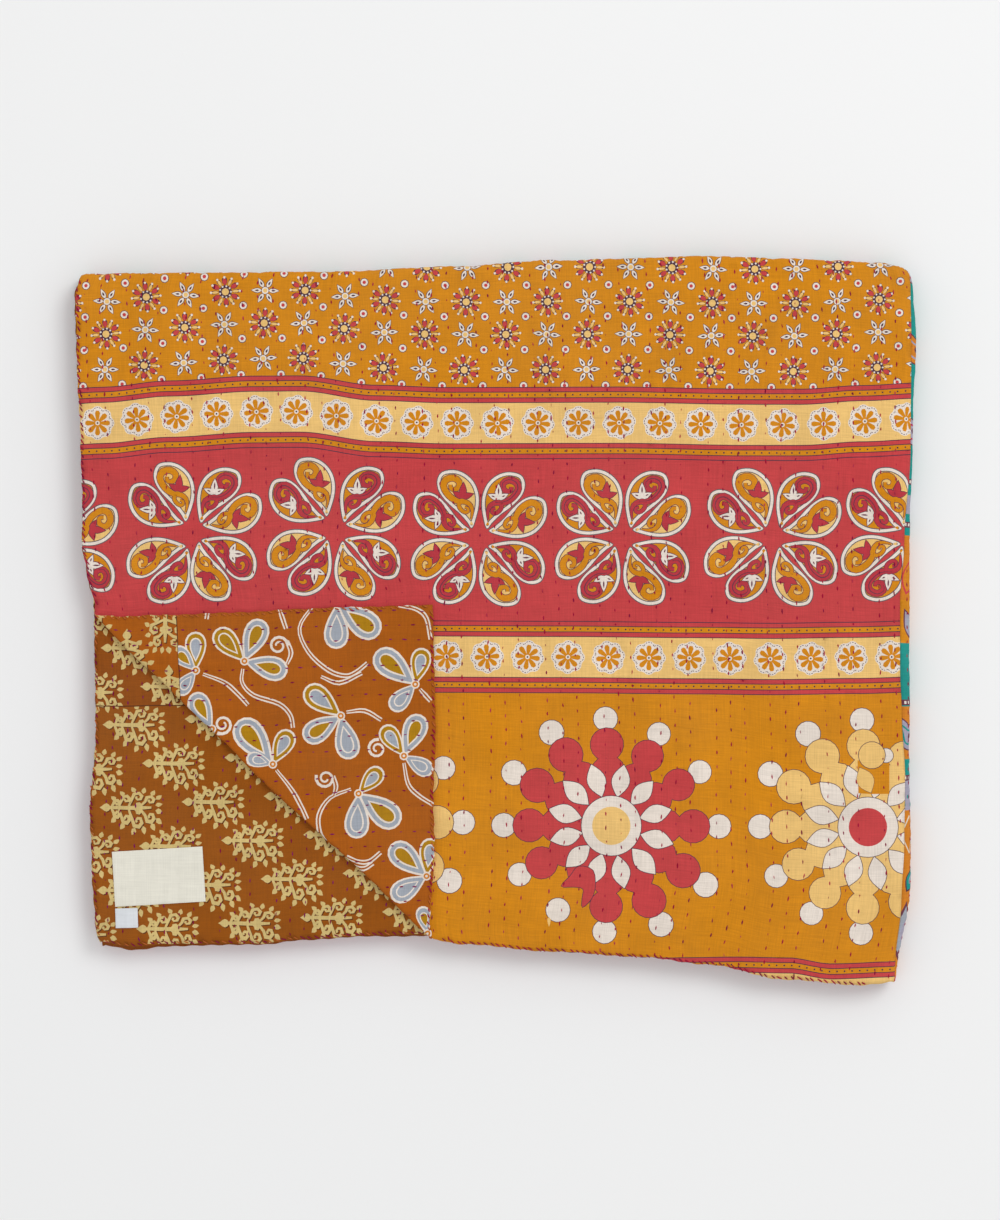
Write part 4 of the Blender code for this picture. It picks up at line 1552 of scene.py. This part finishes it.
def lay_stitches(name, patch, side, spots, turns, dye_names):
    """One piece of many stitches, each turned by its angle from the run of the rows."""
    count = len(spots)
    length = draw.uniform(*STITCH_LENGTHS, count)[:, None]
    lean = (np.broadcast_to(turns, count) + draw.normal(0.0, 0.10, count))[:, None]
    aside = draw.normal(0.0, 0.0003, count)[:, None]
    along_stitch = STITCH_CORNERS[:, 1] * length / 2
    beside = STITCH_CORNERS[:, 0] * THREAD_RADIUS
    across = spots[:, :1] + aside + beside * np.cos(lean) - along_stitch * np.sin(lean)
    along = spots[:, 1:] + beside * np.sin(lean) + along_stitch * np.cos(lean)
    flat = (across + 1j * along).ravel()
    middle = np.repeat(spots[:, 0] + 1j * spots[:, 1], len(STITCH_CORNERS))
    sunk = np.broadcast_to(STITCH_CORNERS[:, 1] ** 2, across.shape).ravel()
    up = np.broadcast_to(STITCH_CORNERS[:, 2], across.shape).ravel() * THREAD_RADIUS
    surface = half_thickness(middle, patch) + face_relief(middle, patch, side)
    lift = surface + up + STITCH_STANDS * (1 - sunk) - STITCH_DIPS * sunk
    places = on_cloth(flat.real, flat.imag, side * lift)
    places[:, 2] = np.maximum(places[:, 2], 0.0)
    faces = (STITCH_FACES[None] + len(STITCH_CORNERS) * np.arange(count)[:, None, None])
    faces = faces.reshape(-1, 3)
    faces = faces if side == 1 else faces[:, ::-1]
    mesh = bpy.data.meshes.new(name)
    mesh.from_pydata(places.tolist(), [], faces.tolist())
    dyes = np.array([(*THREAD_DYES[dye], 1.0) for dye in dye_names])
    chosen = np.repeat(draw.integers(0, len(dyes), count), len(STITCH_FACES) * 3)
    layer = mesh.color_attributes.new("print", "FLOAT_COLOR", "CORNER")
    layer.data.foreach_set("color", dyes[chosen].ravel())
    cloth_map = mesh.uv_layers.new(name="cloth")
    at = flat[faces.ravel()]
    cloth_map.data.foreach_set("uv", np.column_stack((at.real, at.imag)).ravel())
    mesh.shade_smooth()
    piece = bpy.data.objects.new(name, mesh)
    bpy.context.collection.objects.link(piece)
    piece.data.materials.append(thread)
    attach(piece, "root")
    print(name, "has", count, "stitches")
    return piece


SEAM_MARGIN = 0.0035
top_rows = row_spots(1, (0.003, 0.66), (0.003, END_FIRST + 0.004))
open_top = (top_rows[:, 0] < seam_across(top_rows[:, 1]) - SEAM_MARGIN) & (
    np.maximum(top_rows[:, 0], top_rows[:, 1]) > FLAP_LEG - 0.004)
lay_stitches("stitches_top", "top", 1, top_rows[open_top], 0.0,
             ("crimson", "wine", "crimson", "faded"))
flap_rows = row_spots(-1, (0.003, FLAP_LEG), (0.003, FLAP_LEG))
flap_rows = flap_rows[flap_rows.sum(axis=1) < FLAP_LEG - 0.002]
lay_stitches("stitches_corner", "top", -1, flap_rows, 0.0, ("purple", "wine", "purple"))
last_rows = row_spots(-1, (0.003, 0.27), (END_ALONG - 0.27, END_ALONG - 0.003))
visible = last_rows[:, 0] - (last_rows[:, 1] - END_ALONG) < FLAP_LEG + 0.004
lay_stitches("stitches_last", "under", -1, last_rows[visible], 0.0, ("purple", "wine"))
under_rows = row_spots(1, (0.60, END_ACROSS - 0.003), (0.003, END_FIRST + 0.004))
outside = under_rows[:, 0] > seam_across(under_rows[:, 1]) + SEAM_MARGIN
lay_stitches("stitches_under", "under", 1, under_rows[outside], 0.0, ("crimson", "wine"))

# %% Overcast the hems
HEM_PITCH = 0.0052
HEM_INSET = 0.0019


def hem_spots(start, end, place, runs_across):
    """Spots along a hem, evenly spaced, at a place across or along the cloth."""
    run = np.arange(start, end, HEM_PITCH) + draw.normal(0.0, 0.0005, len(np.arange(
        start, end, HEM_PITCH)))
    fixed = np.full_like(run, place)
    return np.column_stack((run, fixed) if runs_across else (fixed, run))


HEMS = [  # piece, patch, side, start and end, place, whether it runs across, turn, dyes
    ("overcast_corner_left", "top", -1, 0.006, FLAP_LEG - 0.004, HEM_INSET, False, 0.5, ("brick",)),
    ("overcast_corner_near", "top", -1, 0.006, FLAP_LEG - 0.004, HEM_INSET, True, 1.0,
     ("crimson", "brick")),
    ("overcast_top_left", "top", 1, FLAP_LEG + 0.006, END_FIRST, HEM_INSET, False, 0.5,
     ("crimson", "wine")),
    ("overcast_top_near", "top", 1, FLAP_LEG + 0.006, 0.61, HEM_INSET, True, 1.0,
     ("crimson", "wine")),
    ("overcast_last_left", "under", -1, END_ALONG - 0.262, END_ALONG - 0.006, HEM_INSET, False,
     -0.5, ("wine", "brick")),
    ("overcast_last_near", "under", -1, 0.006, 0.262, END_ALONG - HEM_INSET, True, -1.0,
     ("wine", "brick"))]
for name, patch, side, start, end, place, runs_across, turn, dye_names in HEMS:
    lay_stitches(name, patch, side, hem_spots(start, end, place, runs_across), turn, dye_names)

# %% [markdown]
# ## Labels
# A cloth label and a small care tab are sewn near the corner. Both stay bare. Each starts as a flat
# grid of the CAD solid's size, laid on the cloth a third of a millimetre up, and gets its thickness
# and soft edges from modifiers.

# %% Make the labels
LABELS = [  # name, replaced node, slot, middle, size and turn as in the frame, dye, cells
    ("sewn_label", "label", "label_tape", (-0.2587, -0.1926), (0.0690, 0.0420), 0.060,
     (0.80, 0.77, 0.67), (34, 20)),
    ("sewn_tab", "care_tab", "care_tape", (-0.2832, -0.2242), (0.0170, 0.0150), 0.025,
     (0.71, 0.73, 0.76), (10, 9))]
LABEL_GAP = 0.00035
LABEL_HALF = 0.00022


def make_label(name, middle, size, turn, dye, cells):
    """A thin tape on the last layer, with soft edges and a slight cockle."""
    bpy.ops.object.select_all(action="DESELECT")
    bpy.ops.mesh.primitive_grid_add(x_subdivisions=cells[0], y_subdivisions=cells[1], size=1.0)
    label = bpy.context.object
    label.name = label.data.name = name
    plan = np.array([tuple(v.co) for v in label.data.vertices])
    flat = (plan[:, 0] * size[0] + 1j * plan[:, 1] * size[1]) * np.exp(1j * turn)
    seen = flat + complex(*middle) + complex(*SEEN_MIDDLE)
    across, along = unfolded(seen.real, seen.imag, "last")
    edge = np.minimum(0.5 - np.abs(plan[:, 0]), (0.5 - np.abs(plan[:, 1])) * size[1] / size[0])
    puff = 0.0005 * np.minimum(edge * size[0] / 0.004, 1.0)
    puff *= 1 + 0.5 * noises(plan[:, 0] * 6, plan[:, 1] * 4, 2.2)
    under = face_relief(across + 1j * along, "under", -1)
    lift = THICKNESS / 2 + under + LABEL_GAP + LABEL_HALF + puff
    places = on_cloth(across, along, -lift)
    label.data.vertices.foreach_set("co", places.ravel())
    label.data.update()
    thick = label.modifiers.new("thickness", "SOLIDIFY")
    thick.thickness = 2 * LABEL_HALF
    thick.offset = 0.0
    bpy.ops.object.modifier_apply(modifier=thick.name)
    soft = label.modifiers.new("soft_edge", "BEVEL")
    soft.width = 0.00012
    soft.segments = 2
    soft.limit_method = "ANGLE"
    bpy.ops.object.modifier_apply(modifier=soft.name)
    mesh = label.data
    layer = mesh.color_attributes.new("print", "FLOAT_COLOR", "CORNER")
    layer.data.foreach_set("color", np.tile((*dye, 1.0), len(mesh.loops)))
    cloth_map = mesh.uv_layers.active or mesh.uv_layers.new()
    cloth_map.name = "cloth"
    corners = np.array([tuple(mesh.vertices[loop.vertex_index].co) for loop in mesh.loops])
    cloth_map.data.foreach_set("uv", corners[:, :2].ravel())
    mesh.shade_smooth()
    label.data.materials.append(tape)
    print(name, "has", len(mesh.polygons), "faces")
    return label


for name, node, slot, middle, size, turn, dye, cells in LABELS:
    label = make_label(name, middle, size, turn, dye, cells)
    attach(label, "root")
    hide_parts(node)

# %% Give the quilt's cloth its material, attach it, and hide the plain solid
for sheet in (quilt_top, quilt_under):
    sheet.data.materials.append(cotton)
    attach(sheet, "root")
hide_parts("quilt")
